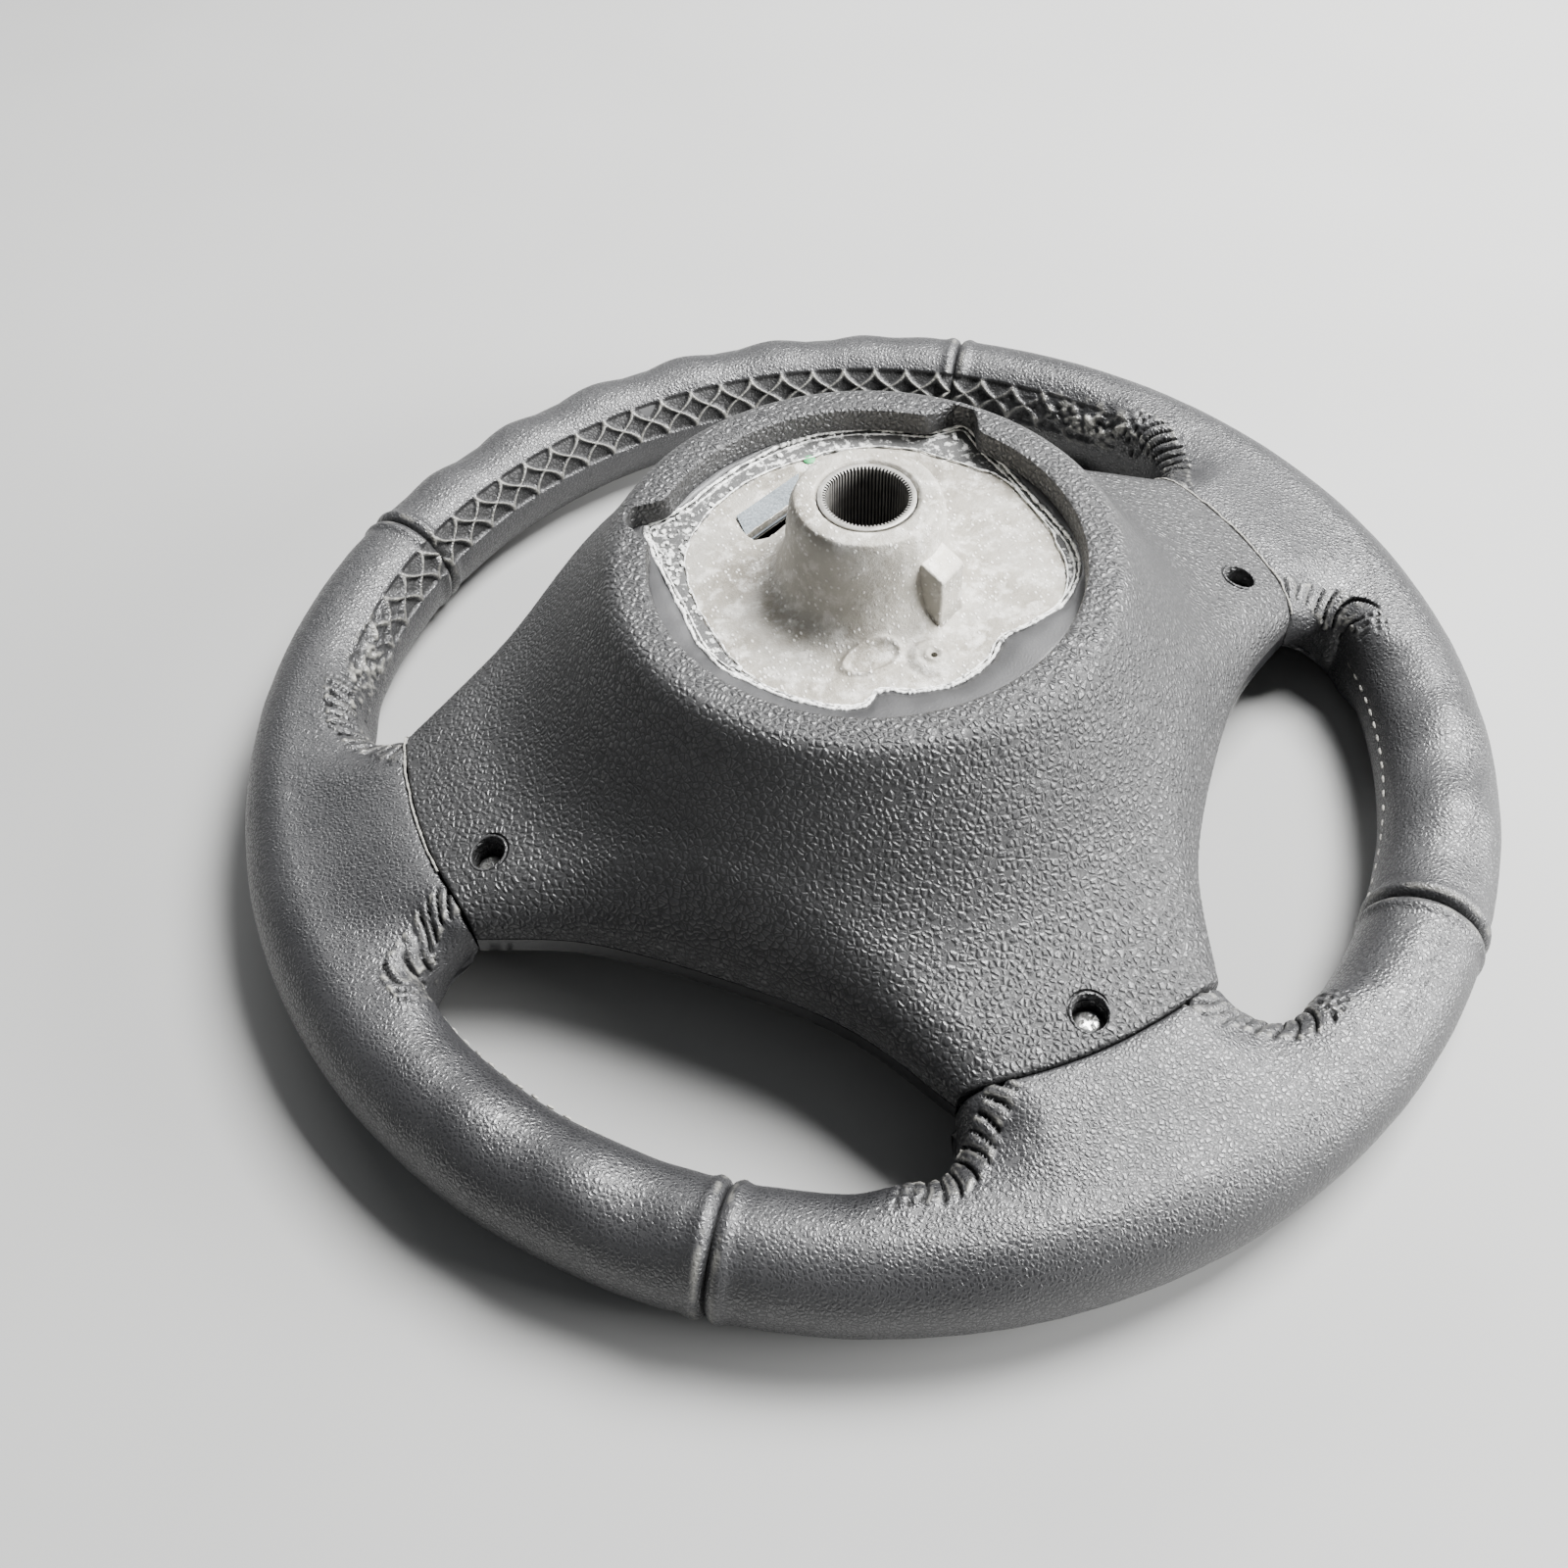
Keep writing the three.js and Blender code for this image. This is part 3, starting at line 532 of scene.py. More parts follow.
def wrap_piece(side, material):
    """One section of the wrap with its turned ends, finger waves, creases, lacing and gathers."""
    grid, normal, section, bearing, inside, (from_edge, edge_run) = wrap_shape(side)
    ends = bearing[0], bearing[-1]
    theta = bearing[None, :] + 0 * section
    height = wrap_height(grid, theta, section, ends, side)
    distance = crotch_distance(grid, CROTCHES)
    height = height + wrinkles(grid, distance)
    run = band_run(grid)
    from_end = np.minimum(np.abs(theta - ends[0]), np.abs(theta - ends[1])) * math.pi / 180 * RIM_RADIUS
    wear_and_painted_shade = 0.5 * bump(from_end, 1.9, 0.8) * rise(lumps(grid, 3, 9), -0.6, 0.4)
    gathered = beside_roots(bearing, 0.5, 4.0) * rise(inside, 24, 17)
    if side in LACED:
        first, last = LACED[side]
        laced = rise(theta, first - 0.6, first) * (1 - rise(theta, last, last + 0.6)) * (1 - gathered)
        rough = np.clip((np.abs(theta - 90) - 42) / 16, 0, 1)
        crumple = 0.9 * lumps(grid, 2.2, 5) + 0.8 * lumps(grid, 1.3, 6)
        band = bump(across_band(section), 0, 6.5)
        # The lace's second value is rubbed pale on the threads and painted shade in the sunk cells.
        lace_height, lace_wear_and_painted_shade = lacing(run, section)
        height = height + laced * (lace_height * (1 - 0.75 * rough) + crumple * rough * band)
        wear_and_painted_shade = wear_and_painted_shade + laced * (lace_wear_and_painted_shade * (1 - rough) + (1.3 * crumple + 0.35) * rough * band)
    # The gathers' second value is rubbed pale on the folds and painted shade in the slits.
    gather_height, gather_wear_and_painted_shade = gathers(grid, from_edge, edge_run)
    height = height + gathered * gather_height + 0.16 * lumps(grid, 14, 7) + 0.05 * lumps(grid, 4, 8)
    # Rubbed pale wear at the ends, threads and folds, with painted shade in the lace cells and gather
    # slits.
    wear_and_painted_shade = np.clip(wear_and_painted_shade + gathered * gather_wear_and_painted_shade, -1, 1)
    points = grid + normal * height[..., None]
    points[..., 2] = np.maximum(points[..., 2], 0.02)
    piece = skin(f"rim_wrap_{side}", points, wrap_rows=True, cap_columns=True, wear_and_painted_shade=wear_and_painted_shade)
    return finish_piece(piece, material, replaces=[f"leather_{side}"])


def foam_piece(side, material):
    """The moulded foam under the leather of one section."""
    piece = skin(f"rim_foam_{side}", wrap_shape(side, 1.5, 4, 3), wrap_rows=True, cap_columns=True)
    return finish_piece(piece, material, replaces=["rim_foam"])


def pebble_group():
    """Node group: pebbles of a given size in metres. Puts out their height and a crease mask."""
    group = bpy.data.node_groups.new("pebble_grain", "ShaderNodeTree")
    group.interface.new_socket("Vector", in_out="INPUT", socket_type="NodeSocketVector")
    group.interface.new_socket("Scale", in_out="INPUT", socket_type="NodeSocketFloat")
    group.interface.new_socket("Height", in_out="OUTPUT", socket_type="NodeSocketFloat")
    group.interface.new_socket("Crease", in_out="OUTPUT", socket_type="NodeSocketFloat")
    nodes, links = group.nodes, group.links
    enter, leave = nodes.new("NodeGroupInput"), nodes.new("NodeGroupOutput")
    warp = nodes.new("ShaderNodeTexNoise")
    warp.inputs["Detail"].default_value = 2
    offset = nodes.new("ShaderNodeVectorMath")
    offset.operation = "MULTIPLY_ADD"
    offset.inputs[1].default_value = (0.0009, 0.0009, 0.0009)
    cells = nodes.new("ShaderNodeTexVoronoi")
    cells.feature = "DISTANCE_TO_EDGE"
    dome = nodes.new("ShaderNodeMapRange")
    dome.interpolation_type = "SMOOTHERSTEP"
    dome.inputs["From Min"].default_value = 0.0
    dome.inputs["From Max"].default_value = 0.38
    crease = nodes.new("ShaderNodeMapRange")
    crease.inputs["From Min"].default_value = 0.02
    crease.inputs["From Max"].default_value = 0.13
    crease.inputs["To Min"].default_value = 1
    crease.inputs["To Max"].default_value = 0
    links.new(enter.outputs["Vector"], warp.inputs["Vector"])
    links.new(enter.outputs["Scale"], warp.inputs["Scale"])
    links.new(warp.outputs["Color"], offset.inputs[0])
    links.new(enter.outputs["Vector"], offset.inputs[2])
    links.new(offset.outputs["Vector"], cells.inputs["Vector"])
    links.new(enter.outputs["Scale"], cells.inputs["Scale"])
    links.new(cells.outputs["Distance"], dome.inputs["Value"])
    links.new(cells.outputs["Distance"], crease.inputs["Value"])
    links.new(dome.outputs["Result"], leave.inputs["Height"])
    links.new(crease.outputs["Result"], leave.inputs["Crease"])
    return group


def object_position(nodes):
    """The place on the object, in metres."""
    return nodes.new("ShaderNodeTexCoord").outputs["Object"]


def noise(nodes, links, vector, scale, detail=3.0, roughness=0.5):
    """Soft noise from 0 to 1."""
    texture = nodes.new("ShaderNodeTexNoise")
    texture.inputs["Scale"].default_value = scale
    texture.inputs["Detail"].default_value = detail
    texture.inputs["Roughness"].default_value = roughness
    links.new(vector, texture.inputs["Vector"])
    return texture.outputs["Fac"]


def ramp(nodes, links, source, stops):
    """A colour ramp through (position, colour) stops."""
    node = nodes.new("ShaderNodeValToRGB")
    elements = node.color_ramp.elements
    while len(elements) < len(stops):
        elements.new(0.5)
    for element, (position, colour) in zip(elements, stops):
        element.position = position
        element.color = (*colour, 1) if len(colour) == 3 else colour
    links.new(source, node.inputs["Fac"])
    return node.outputs["Color"]


def span(nodes, links, source, low, high, to_low=0.0, to_high=1.0):
    """Maps low..high to to_low..to_high and keeps the result between them."""
    node = nodes.new("ShaderNodeMapRange")
    node.inputs["From Min"].default_value = low
    node.inputs["From Max"].default_value = high
    node.inputs["To Min"].default_value = to_low
    node.inputs["To Max"].default_value = to_high
    links.new(source, node.inputs["Value"])
    return node.outputs["Result"]


def math_node(nodes, links, operation, *values):
    """One Math node. Each value is a number or a socket."""
    node = nodes.new("ShaderNodeMath")
    node.operation = operation
    for socket, value in zip(node.inputs, values):
        if isinstance(value, (int, float)):
            socket.default_value = value
        else:
            links.new(value, socket)
    return node.outputs["Value"]


def raise_by(nodes, links, shader, height, distance, strength=1.0, under=None):
    """Feeds a height into the shader's normal through a Bump node, over an earlier bump if given."""
    node = nodes.new("ShaderNodeBump")
    node.inputs["Distance"].default_value = distance
    node.inputs["Strength"].default_value = strength
    links.new(height, node.inputs["Height"])
    if under is not None:
        links.new(under, node.inputs["Normal"])
    links.new(node.outputs["Normal"], shader.inputs["Normal"])
    return node.outputs["Normal"]


def grain(nodes, links, vector, scale):
    """The pebble group: height and crease of a net of rounded cells."""
    node = nodes.new("ShaderNodeGroup")
    node.node_tree = PEBBLES
    node.inputs["Scale"].default_value = scale
    links.new(vector, node.inputs["Vector"])
    return node.outputs["Height"], node.outputs["Crease"]


PEBBLES = pebble_group()


def blend(nodes, links, share, one, other):
    """Mixes colour `one` towards `other`, each a plain colour or a socket."""
    mix = nodes.new("ShaderNodeMix")
    mix.data_type = "RGBA"
    links.new(share, mix.inputs["Factor"])
    for socket, colour in ((mix.inputs["A"], one), (mix.inputs["B"], other)):
        if isinstance(colour, tuple):
            socket.default_value = (*colour, 1)
        else:
            links.new(colour, socket)
    return mix.outputs["Result"]


def leather_material():
    """Pebbled charcoal leather, shinier and flatter where hands have worn it. Rubbed threads and folds
    are pale grey. The creases of the grain, the lacing's sunk cells and the gathers' slits are painted
    nearly black as painted shade."""
    material, nodes, links, shader = node_material("rim_leather_look")
    place = object_position(nodes)
    pebbles, crease = grain(nodes, links, place, 780)
    worn = noise(nodes, links, place, 22, 2)
    tone = ramp(nodes, links, worn, [(0.3, (0.013, 0.013, 0.014)), (0.7, (0.023, 0.023, 0.0243))])
    wear_and_painted_shade = nodes.new("ShaderNodeAttribute")
    wear_and_painted_shade.attribute_name = "wear_and_painted_shade"
    pale = span(nodes, links, wear_and_painted_shade.outputs["Fac"], 0.1, 0.9)
    # Below 0, in the lacing's sunk cells and the gathers' slits, the colour is painted near black as
    # painted shade.
    dark = span(nodes, links, wear_and_painted_shade.outputs["Fac"], -0.05, -0.6)
    # The grain's creases are painted darker as painted shade.
    shade = math_node(nodes, links, "MULTIPLY", crease, 0.7)
    colour = blend(nodes, links, shade, tone, (0.007, 0.007, 0.008))
    rubbed = math_node(nodes, links, "MULTIPLY", pale, 0.8)
    colour = blend(nodes, links, rubbed, colour, (0.24, 0.235, 0.21))
    colour = blend(nodes, links, dark, colour, (0.004, 0.004, 0.004))
    links.new(colour, shader.inputs["Base Color"])
    rough = span(nodes, links, worn, 0.3, 0.7, 0.27, 0.37)
    rough = math_node(nodes, links, "MULTIPLY_ADD", crease, 0.32, rough)
    links.new(math_node(nodes, links, "MULTIPLY_ADD", dark, 0.4, rough), shader.inputs["Roughness"])
    shader.inputs["Specular IOR Level"].default_value = 0.75
    height = math_node(nodes, links, "MULTIPLY_ADD", noise(nodes, links, place, 2600, 3), 0.25, pebbles)
    raise_by(nodes, links, shader, height, 0.00012, 0.85)
    return material


def skin_foam_material():
    """Self-skinned polyurethane foam: near black, satin, with small pores."""
    material, nodes, links, shader = node_material("skin_foam_look")
    place = object_position(nodes)
    patch = noise(nodes, links, place, 60, 4)
    tone = ramp(nodes, links, patch, [(0.3, (0.022, 0.022, 0.023)), (0.7, (0.038, 0.038, 0.039))])
    links.new(tone, shader.inputs["Base Color"])
    links.new(span(nodes, links, patch, 0.3, 0.7, 0.38, 0.52), shader.inputs["Roughness"])
    raise_by(nodes, links, shader, noise(nodes, links, place, 1500, 4), 0.0001, 0.6)
    return material


def raw_edge_material():
    """The cut edge of the leather and its thread: pale fibres on grey."""
    material, nodes, links, shader = node_material("raw_edge_look")
    place = object_position(nodes)
    fibre = noise(nodes, links, place, 1400, 4, 0.6)
    tone = ramp(nodes, links, fibre, [(0.35, (0.07, 0.07, 0.065)), (0.62, (0.33, 0.32, 0.29))])
    links.new(tone, shader.inputs["Base Color"])
    links.new(span(nodes, links, fibre, 0.3, 0.7, 0.6, 0.85), shader.inputs["Roughness"])
    raise_by(nodes, links, shader, fibre, 0.0003, 0.8)
    return material


leather = leather_material()
skin_foam = skin_foam_material()
raw_edge = raw_edge_material()
for wrap_side in WRAPS:
    wrap_piece(wrap_side, leather)
    foam_piece(wrap_side, skin_foam)


def groove_line(side, r, lift):
    """Points along the groove's edge of a root's leather, from one side edge to the other."""
    first, last = ROOTS[side]["groove"]
    angle = np.radians(np.linspace(first, last, 160))
    away = np.minimum(angle - angle[0], angle[-1] - angle) * GROOVE_RADIUS
    shoulder = np.sqrt(1 - (1 - np.clip(away / ROOT_SHOULDER, 0, 1)) ** 2)
    height = BACK_EDGE + (BACK_MIDDLE - BACK_EDGE) * shoulder + lift
    return np.stack([r * np.cos(angle), r * np.sin(angle), height], -1)


def bead(name, path, radius, material, sides=8, closed=True, body="wheel"):
    """A tube of varying radius along a path: at each point a circle square to the path."""
    along = np.roll(path, -1, 0) - np.roll(path, 1, 0) if closed else np.gradient(path, axis=0)
    along /= np.linalg.norm(along, axis=1, keepdims=True)
    side = np.cross(along, (0, 0, 1.0))
    side /= np.maximum(np.linalg.norm(side, axis=1, keepdims=True), 1e-6)
    up = np.cross(side, along)
    turn = np.linspace(0, 2 * math.pi, sides, endpoint=False)[:, None, None]
    size = np.broadcast_to(np.asarray(radius, float), len(path))[:, None]
    grid = path + size * (np.cos(turn) * side + np.sin(turn) * up)
    piece = skin(name, grid, wrap_rows=True, wrap_columns=closed, cap_columns=not closed)
    return finish_piece(piece, material, body)


def cut_edge(side, shares):
    """The pale cut edge of the leather where it goes down into the groove beside the cover."""
    line = groove_line(side, GROOVE_RADIUS + 0.25, -0.05)
    line = spaced_along(line, 0.5)
    first, last = (round(share * (len(line) - 1)) for share in shares)
    line = line[first:last]
    thickness = 0.30 + 0.22 * np.abs(lumps(line, 1.8, 51))
    line = line + 0.25 * np.stack([lumps(line, 2.5, seed) for seed in (52, 53, 54)], -1)
    bead(f"leather_edge_{side}", line, thickness, raw_edge, closed=False)


def spaced_along(line, spacing):
    """The same line with points about `spacing` apart along it."""
    length = np.append(0, np.cumsum(np.linalg.norm(np.diff(line, axis=0), axis=1)))
    at = np.linspace(0, length[-1], round(length[-1] / spacing))
    return np.stack([np.interp(at, length, line[:, k]) for k in range(3)], -1)


STITCH_LENGTH = 2.7
STITCH_PITCH = 5.0


def stitches(side, first, last):
    """A row of short thread loops on the inner side of the rim, each a long ellipsoid."""
    count = round(abs(last - first) * math.pi / 180 * 153 / STITCH_PITCH)
    u = np.linspace(0, 2 * math.pi, 6, endpoint=False)[:, None]
    v = np.linspace(0.05, math.pi - 0.05, 6)
    points, faces = [], []
    for bearing in np.radians(np.linspace(first, last, count)):
        number = len(points) * u.size * v.size + np.arange(u.size * v.size).reshape(u.size, v.size)
        along = STITCH_LENGTH / 2 * np.cos(v) + 0 * u
        out = 152.6 + 0.45 * np.cos(u) * np.sin(v)
        height = 21 + 1.2 * np.sin(9 * bearing) + 0.45 * np.sin(u) * np.sin(v)
        x = out * math.cos(bearing) - along * math.sin(bearing)
        y = out * math.sin(bearing) + along * math.cos(bearing)
        points.append(np.stack([x, y, height], -1).reshape(-1, 3))
        after = np.roll(number, -1, 0)
        quads = np.stack([number[:, :-1], after[:, :-1], after[:, 1:], number[:, 1:]], -1)
        faces += quads.reshape(-1, 4).tolist()
        faces += [number[:, 0].tolist(), number[::-1, -1].tolist()]
    mesh = bpy.data.meshes.new(f"rim_stitches_{side}")
    mesh.from_pydata((np.vstack(points) / 1000).tolist(), [], faces)
    piece = bpy.data.objects.new(f"rim_stitches_{side}", mesh)
    bpy.context.scene.collection.objects.link(piece)
    finish_piece(turn_outwards(piece), raw_edge)


cut_edge("left", (0.04, 0.74))
cut_edge("right", (0.04, 0.97))
stitches("right", -17, -50)
stitches("left", 197, 230)

# ---- rear cover -----------------------------------------------------------------------------------
# One moulding of dark grained plastic: a flat ring round the hub's well, a cone that flares out into
# the three spokes, and a rounded shoulder along their sides. Three screws hold it through deep holes.

SPOKE_END = 134.0
RING_OPENING = 59.0
RING_TOP = 91.5
RING_BOTTOM = 84.3
PARTING = 28.6
COVER_WALL = 2.4
COVER_EDGE = 33.0
SHOULDER = 13.0
LOWER_EDGE = [(38, -128.5), (52, -98), (75, -70.5), (104, -44), (130.6, -30)]
UPPER_EDGE = [(127.25, 42), (91, 62), (58, 86), (30, 94.5), (0, 97)]
CROWN = [
    (68.4, 91.1), (70.5, 89.6), (73, 86.2), (77, 80), (84, 70), (90, 62), (98, 54), (108, 48), (121, 44),
    (137, 39.2),
]
ACCESS_HOLES = {"right": (120, -15.6), "left": (-120, -15.6), "bottom": (0, -126)}
ACCESS_RADIUS = 4.5
EAR_ANGLES = (40, 140)
EAR_DEPTH = 8.2


def curve_through(points, steps, closed=False):
    """A smooth curve through points: on each stretch, half of the cubic
    2 p1 + (p2 - p0) t + (2 p0 - 5 p1 + 4 p2 - p3) t^2 + (3 p1 - p0 - 3 p2 + p3) t^3."""
    knots = np.array(points, float)
    if closed:
        knots = np.vstack([knots[-1:], knots, knots[:2]])
    else:
        knots = np.vstack([knots[:1], knots, knots[-1:]])
    t = np.linspace(0, 1, steps, endpoint=False)[:, None]
    stretches = []
    for p0, p1, p2, p3 in zip(knots, knots[1:], knots[2:], knots[3:]):
        stretches.append(0.5 * (2 * p1 + (p2 - p0) * t + (2 * p0 - 5 * p1 + 4 * p2 - p3) * t ** 2
                                + (3 * p1 - p0 - 3 * p2 + p3) * t ** 3))
    if not closed:
        stretches.append(knots[-1:])
    return np.vstack(stretches)


def spaced(curve, spacing):
    """The same curve at equal steps of arc length, its last point left out."""
    length = np.append(0, np.cumsum(np.linalg.norm(np.diff(curve, axis=0), axis=1)))
    at = np.linspace(0, length[-1], max(2, round(length[-1] / spacing)) + 1)[:-1]
    return np.stack([np.interp(at, length, curve[:, k]) for k in range(curve.shape[1])], -1)


def round_end(first, last):
    """The arc of the spoke's end between the bearings of two points."""
    angle = np.linspace(math.atan2(first[1], first[0]), math.atan2(last[1], last[0]), 200)
    return np.stack([SPOKE_END * np.cos(angle), SPOKE_END * np.sin(angle)], -1)


def cover_outline(spacing):
    """Right half from the bottom to the top of the wheel, then its mirror image."""
    lower, upper = curve_through(LOWER_EDGE, 60), curve_through(UPPER_EDGE, 60)
    stretches = [round_end((0, -1), LOWER_EDGE[0]), lower, round_end(LOWER_EDGE[-1], UPPER_EDGE[0]), upper]
    right = np.vstack([*[spaced(stretch, spacing) for stretch in stretches], upper[-1:]])
    left = right[1:-1][::-1] * (-1, 1)
    return np.vstack([right, left])


side_edges = np.vstack([curve_through(LOWER_EDGE, 60), curve_through(UPPER_EDGE, 60)])
crown_curve = curve_through(CROWN, 40)


def from_side_edge(x, y):
    """Distance in plan to the nearest side edge of the cover, both halves folded onto one."""
    flat = np.stack([np.abs(x).ravel(), y.ravel()], -1)
    nearest = np.full(len(flat), 1e9)
    for block in np.array_split(side_edges, 24):
        gap = np.linalg.norm(flat[:, None, :] - block[None], axis=-1).min(1)
        nearest = np.minimum(nearest, gap)
    return nearest.reshape(x.shape)


def cover_height(x, y, wall=0.0):
    """Crown height at this distance from the axis, falling to the edge over the shoulder's width in a
    quarter round: edge + (crown - edge) * sqrt(1 - (1 - t)^2), t the distance over the width."""
    t = np.clip((from_side_edge(x, y) - wall) / SHOULDER, 0, 1)
    outwards = 1.6 if wall else 0.0
    crown = np.interp(np.hypot(x, y) + outwards, crown_curve[:, 0], crown_curve[:, 1])
    return COVER_EDGE + (crown - COVER_EDGE) * np.sqrt(1 - (1 - t) ** 2) - (2.0 if wall else 0.0)


def opening_radius(bearing):
    """The well's radius with two horn-like notches: each falls off as exp(-(x/4)^2) on the side of the
    wheel's top and as exp(-(x/7.5)^4) on its other side, x in degrees from its middle."""
    radius = np.full_like(bearing, RING_OPENING)
    for ear in EAR_ANGLES:
        turn = ((bearing - ear + 180) % 360 - 180) * (1 if ear < 90 else -1)
        notch = np.where(turn > 0, np.exp(-(turn / 4.0) ** 2), np.exp(-(turn / 7.5) ** 4))
        radius = radius + EAR_DEPTH * notch
    return radius


def cover_surface():
    """Radial sections round the outline: up the well's wall, over the ring, out along the crown, down
    the edge, and back along the inside of the wall."""
    edge = cover_outline(1.0)
    end = np.hypot(edge[:, 0], edge[:, 1])
    unit = edge / end[:, None]
    bearing = np.degrees(np.arctan2(unit[:, 1], unit[:, 0])) % 360
    well = opening_radius(bearing)
    rows = []
    for inset, height in [(0, RING_BOTTOM), (0, RING_TOP - 1.2), (0.35, RING_TOP - 0.35), (1.2, RING_TOP)]:
        rows.append((well + inset, np.full_like(end, height)))
    for share in np.linspace(0.2, 1, 6):
        rows.append((well + 1.2 + (67.0 - well - 1.2) * share, np.full_like(end, RING_TOP)))
    start = 68.4
    last_part = 0.7 + 0.3 * np.sin(np.linspace(0, math.pi / 2, 34))
    along = np.concatenate([np.linspace(0, 0.7, 40, endpoint=False), last_part])
    for share in along:
        radius = start + (end - start) * share
        height = cover_height(unit[:, 0] * radius, unit[:, 1] * radius)
        near = np.clip(1 - (end - radius) / 0.9, 0, 1)
        rows.append((radius, height - 0.9 * (1 - np.sqrt(1 - near ** 2 * 0.999))))
    rows.append((end, np.full_like(end, PARTING)))
    inner = end - COVER_WALL
    rows.append((inner, np.full_like(end, PARTING)))
    for share in (1, 0.9, 0.78, 0.66, 0.55, 0.45, 0.35, 0.2, 0.1):
        radius = np.minimum(RING_OPENING + 11.5 + (end - RING_OPENING - 11.5) * share, inner)
        height = cover_height(unit[:, 0] * radius, unit[:, 1] * radius, COVER_WALL)
        rows.append((radius, np.minimum(height, RING_BOTTOM + 1.5)))
    rows.append((np.full_like(end, 70.5), np.full_like(end, RING_BOTTOM)))
    radius = np.stack([row[0] for row in rows])
    height = np.stack([row[1] for row in rows])
    return np.stack([radius * unit[:, 0], radius * unit[:, 1], height], -1)


def turned(name, profile, columns=96, centre=(0, 0), closed=False, sharp=35):
    """A radius and height profile turned about an upright axis. An open profile is capped flat at
    both ends, and a closed one makes a ring."""
    profile = np.array(profile, float)
    angle = np.linspace(0, 2 * math.pi, columns, endpoint=False)
    x = centre[0] + profile[:, :1] * np.cos(angle)
    y = centre[1] + profile[:, :1] * np.sin(angle)
    grid = np.stack([x, y, profile[:, 1:] + 0 * x], -1)
    return skin(name, grid, wrap_rows=closed, wrap_columns=True, cap_rows=not closed, sharp=sharp)


def cut_from(piece, cutters, sharp=None):
    """Cuts solids out of a piece, keeps the result as its mesh and deletes the cutters."""
    for cutter in cutters:
        modifier = piece.modifiers.new("cut", "BOOLEAN")
        modifier.operation = "DIFFERENCE"
        modifier.solver = "EXACT"
        modifier.object = cutter
    depsgraph = bpy.context.evaluated_depsgraph_get()
    depsgraph.update()
    result = bpy.data.meshes.new_from_object(piece.evaluated_get(depsgraph))
    piece.modifiers.clear()
    old = piece.data
    piece.data = result
    bpy.data.meshes.remove(old)
    for cutter in cutters:
        bpy.data.objects.remove(cutter)
    result.polygons.foreach_set("use_smooth", np.ones(len(result.polygons), bool))
    if sharp:
        result.set_sharp_from_angle(angle=math.radians(sharp))
    return piece


def moulded_material(name, dark, light, scale, depth, rough):
    """Moulded plastic with a leather-like grain, its valleys painted darker as painted shade and duller
    than its tops.
    """
    material, nodes, links, shader = node_material(name)
    place = object_position(nodes)
    pebbles, crease = grain(nodes, links, place, scale)
    patch = noise(nodes, links, place, 14, 3)
    tone = ramp(nodes, links, patch, [(0.3, dark), (0.72, light)])
    # The grain's valleys are painted darker as painted shade.
    painted_valley_shade = tuple(0.35 * c for c in dark)
    colour = blend(nodes, links, math_node(nodes, links, "MULTIPLY", crease, 0.85), tone, painted_valley_shade)
    scuff = span(nodes, links, noise(nodes, links, place, 75, 4, 0.6), 0.70, 0.76, 0, 0.22)
    colour = blend(nodes, links, scuff, colour, (0.25, 0.25, 0.24))
    links.new(colour, shader.inputs["Base Color"])
    fine = noise(nodes, links, place, 3000, 2)
    smooth = span(nodes, links, patch, 0.3, 0.7, rough, rough + 0.07)
    links.new(math_node(nodes, links, "MULTIPLY_ADD", crease, 0.35, smooth), shader.inputs["Roughness"])
    shader.inputs["Specular IOR Level"].default_value = 0.7
    raise_by(nodes, links, shader, math_node(nodes, links, "MULTIPLY_ADD", fine, 0.2, pebbles), depth, 0.9)
    return material


grained_plastic = moulded_material(
    "grained_plastic_look", (0.020, 0.020, 0.0207), (0.030, 0.030, 0.0307), 550, 0.00031, 0.33,
)

cover = skin("rear_cover_moulding", cover_surface(), wrap_rows=True, wrap_columns=True)
hole_cutters = []
for hole_name, hole_place in ACCESS_HOLES.items():
    mouth = float(cover_height(np.array([hole_place[0]]), np.array([hole_place[1]]))[0])
    hole_cutters.append(turned(f"hole_{hole_name}", [
        (ACCESS_RADIUS, 34), (ACCESS_RADIUS, mouth - 1.4), (ACCESS_RADIUS + 0.4, mouth - 0.7),
        (ACCESS_RADIUS + 1.5, mouth + 0.5), (ACCESS_RADIUS + 1.5, mouth + 8),
    ], 64, hole_place))
cut_from(cover, hole_cutters, 40)
finish_piece(cover, grained_plastic, replaces=["rear_cover", "cover_ring"])

for hole_name, hole_place in ACCESS_HOLES.items():
    mouth = float(cover_height(np.array([hole_place[0]]), np.array([hole_place[1]]))[0])
    tube = turned(f"access_tube_{hole_name}", [
        (ACCESS_RADIUS, 36), (ACCESS_RADIUS, mouth - 1.6), (ACCESS_RADIUS + 1.3, mouth - 2.0),
        (ACCESS_RADIUS + 1.3, 36),
    ], 64, hole_place, closed=True)
    finish_piece(tube, grained_plastic)
    turn = np.linspace(0, 2 * math.pi, 72, endpoint=False)
    rim_x = hole_place[0] + (ACCESS_RADIUS + 0.55) * np.cos(turn)
    rim_y = hole_place[1] + (ACCESS_RADIUS + 0.55) * np.sin(turn)
    path = np.stack([rim_x, rim_y, cover_height(rim_x, rim_y) - 0.22], -1)
    bead(f"access_rim_{hole_name}", path, 0.42, grained_plastic)

# ---- hub casting ----------------------------------------------------------------------------------
# A bare light-metal pressure casting: a round plate in the well with the boss for the column on it,
# a lug and a stud beside the boss, and three arms that run down under the cover into the rim.

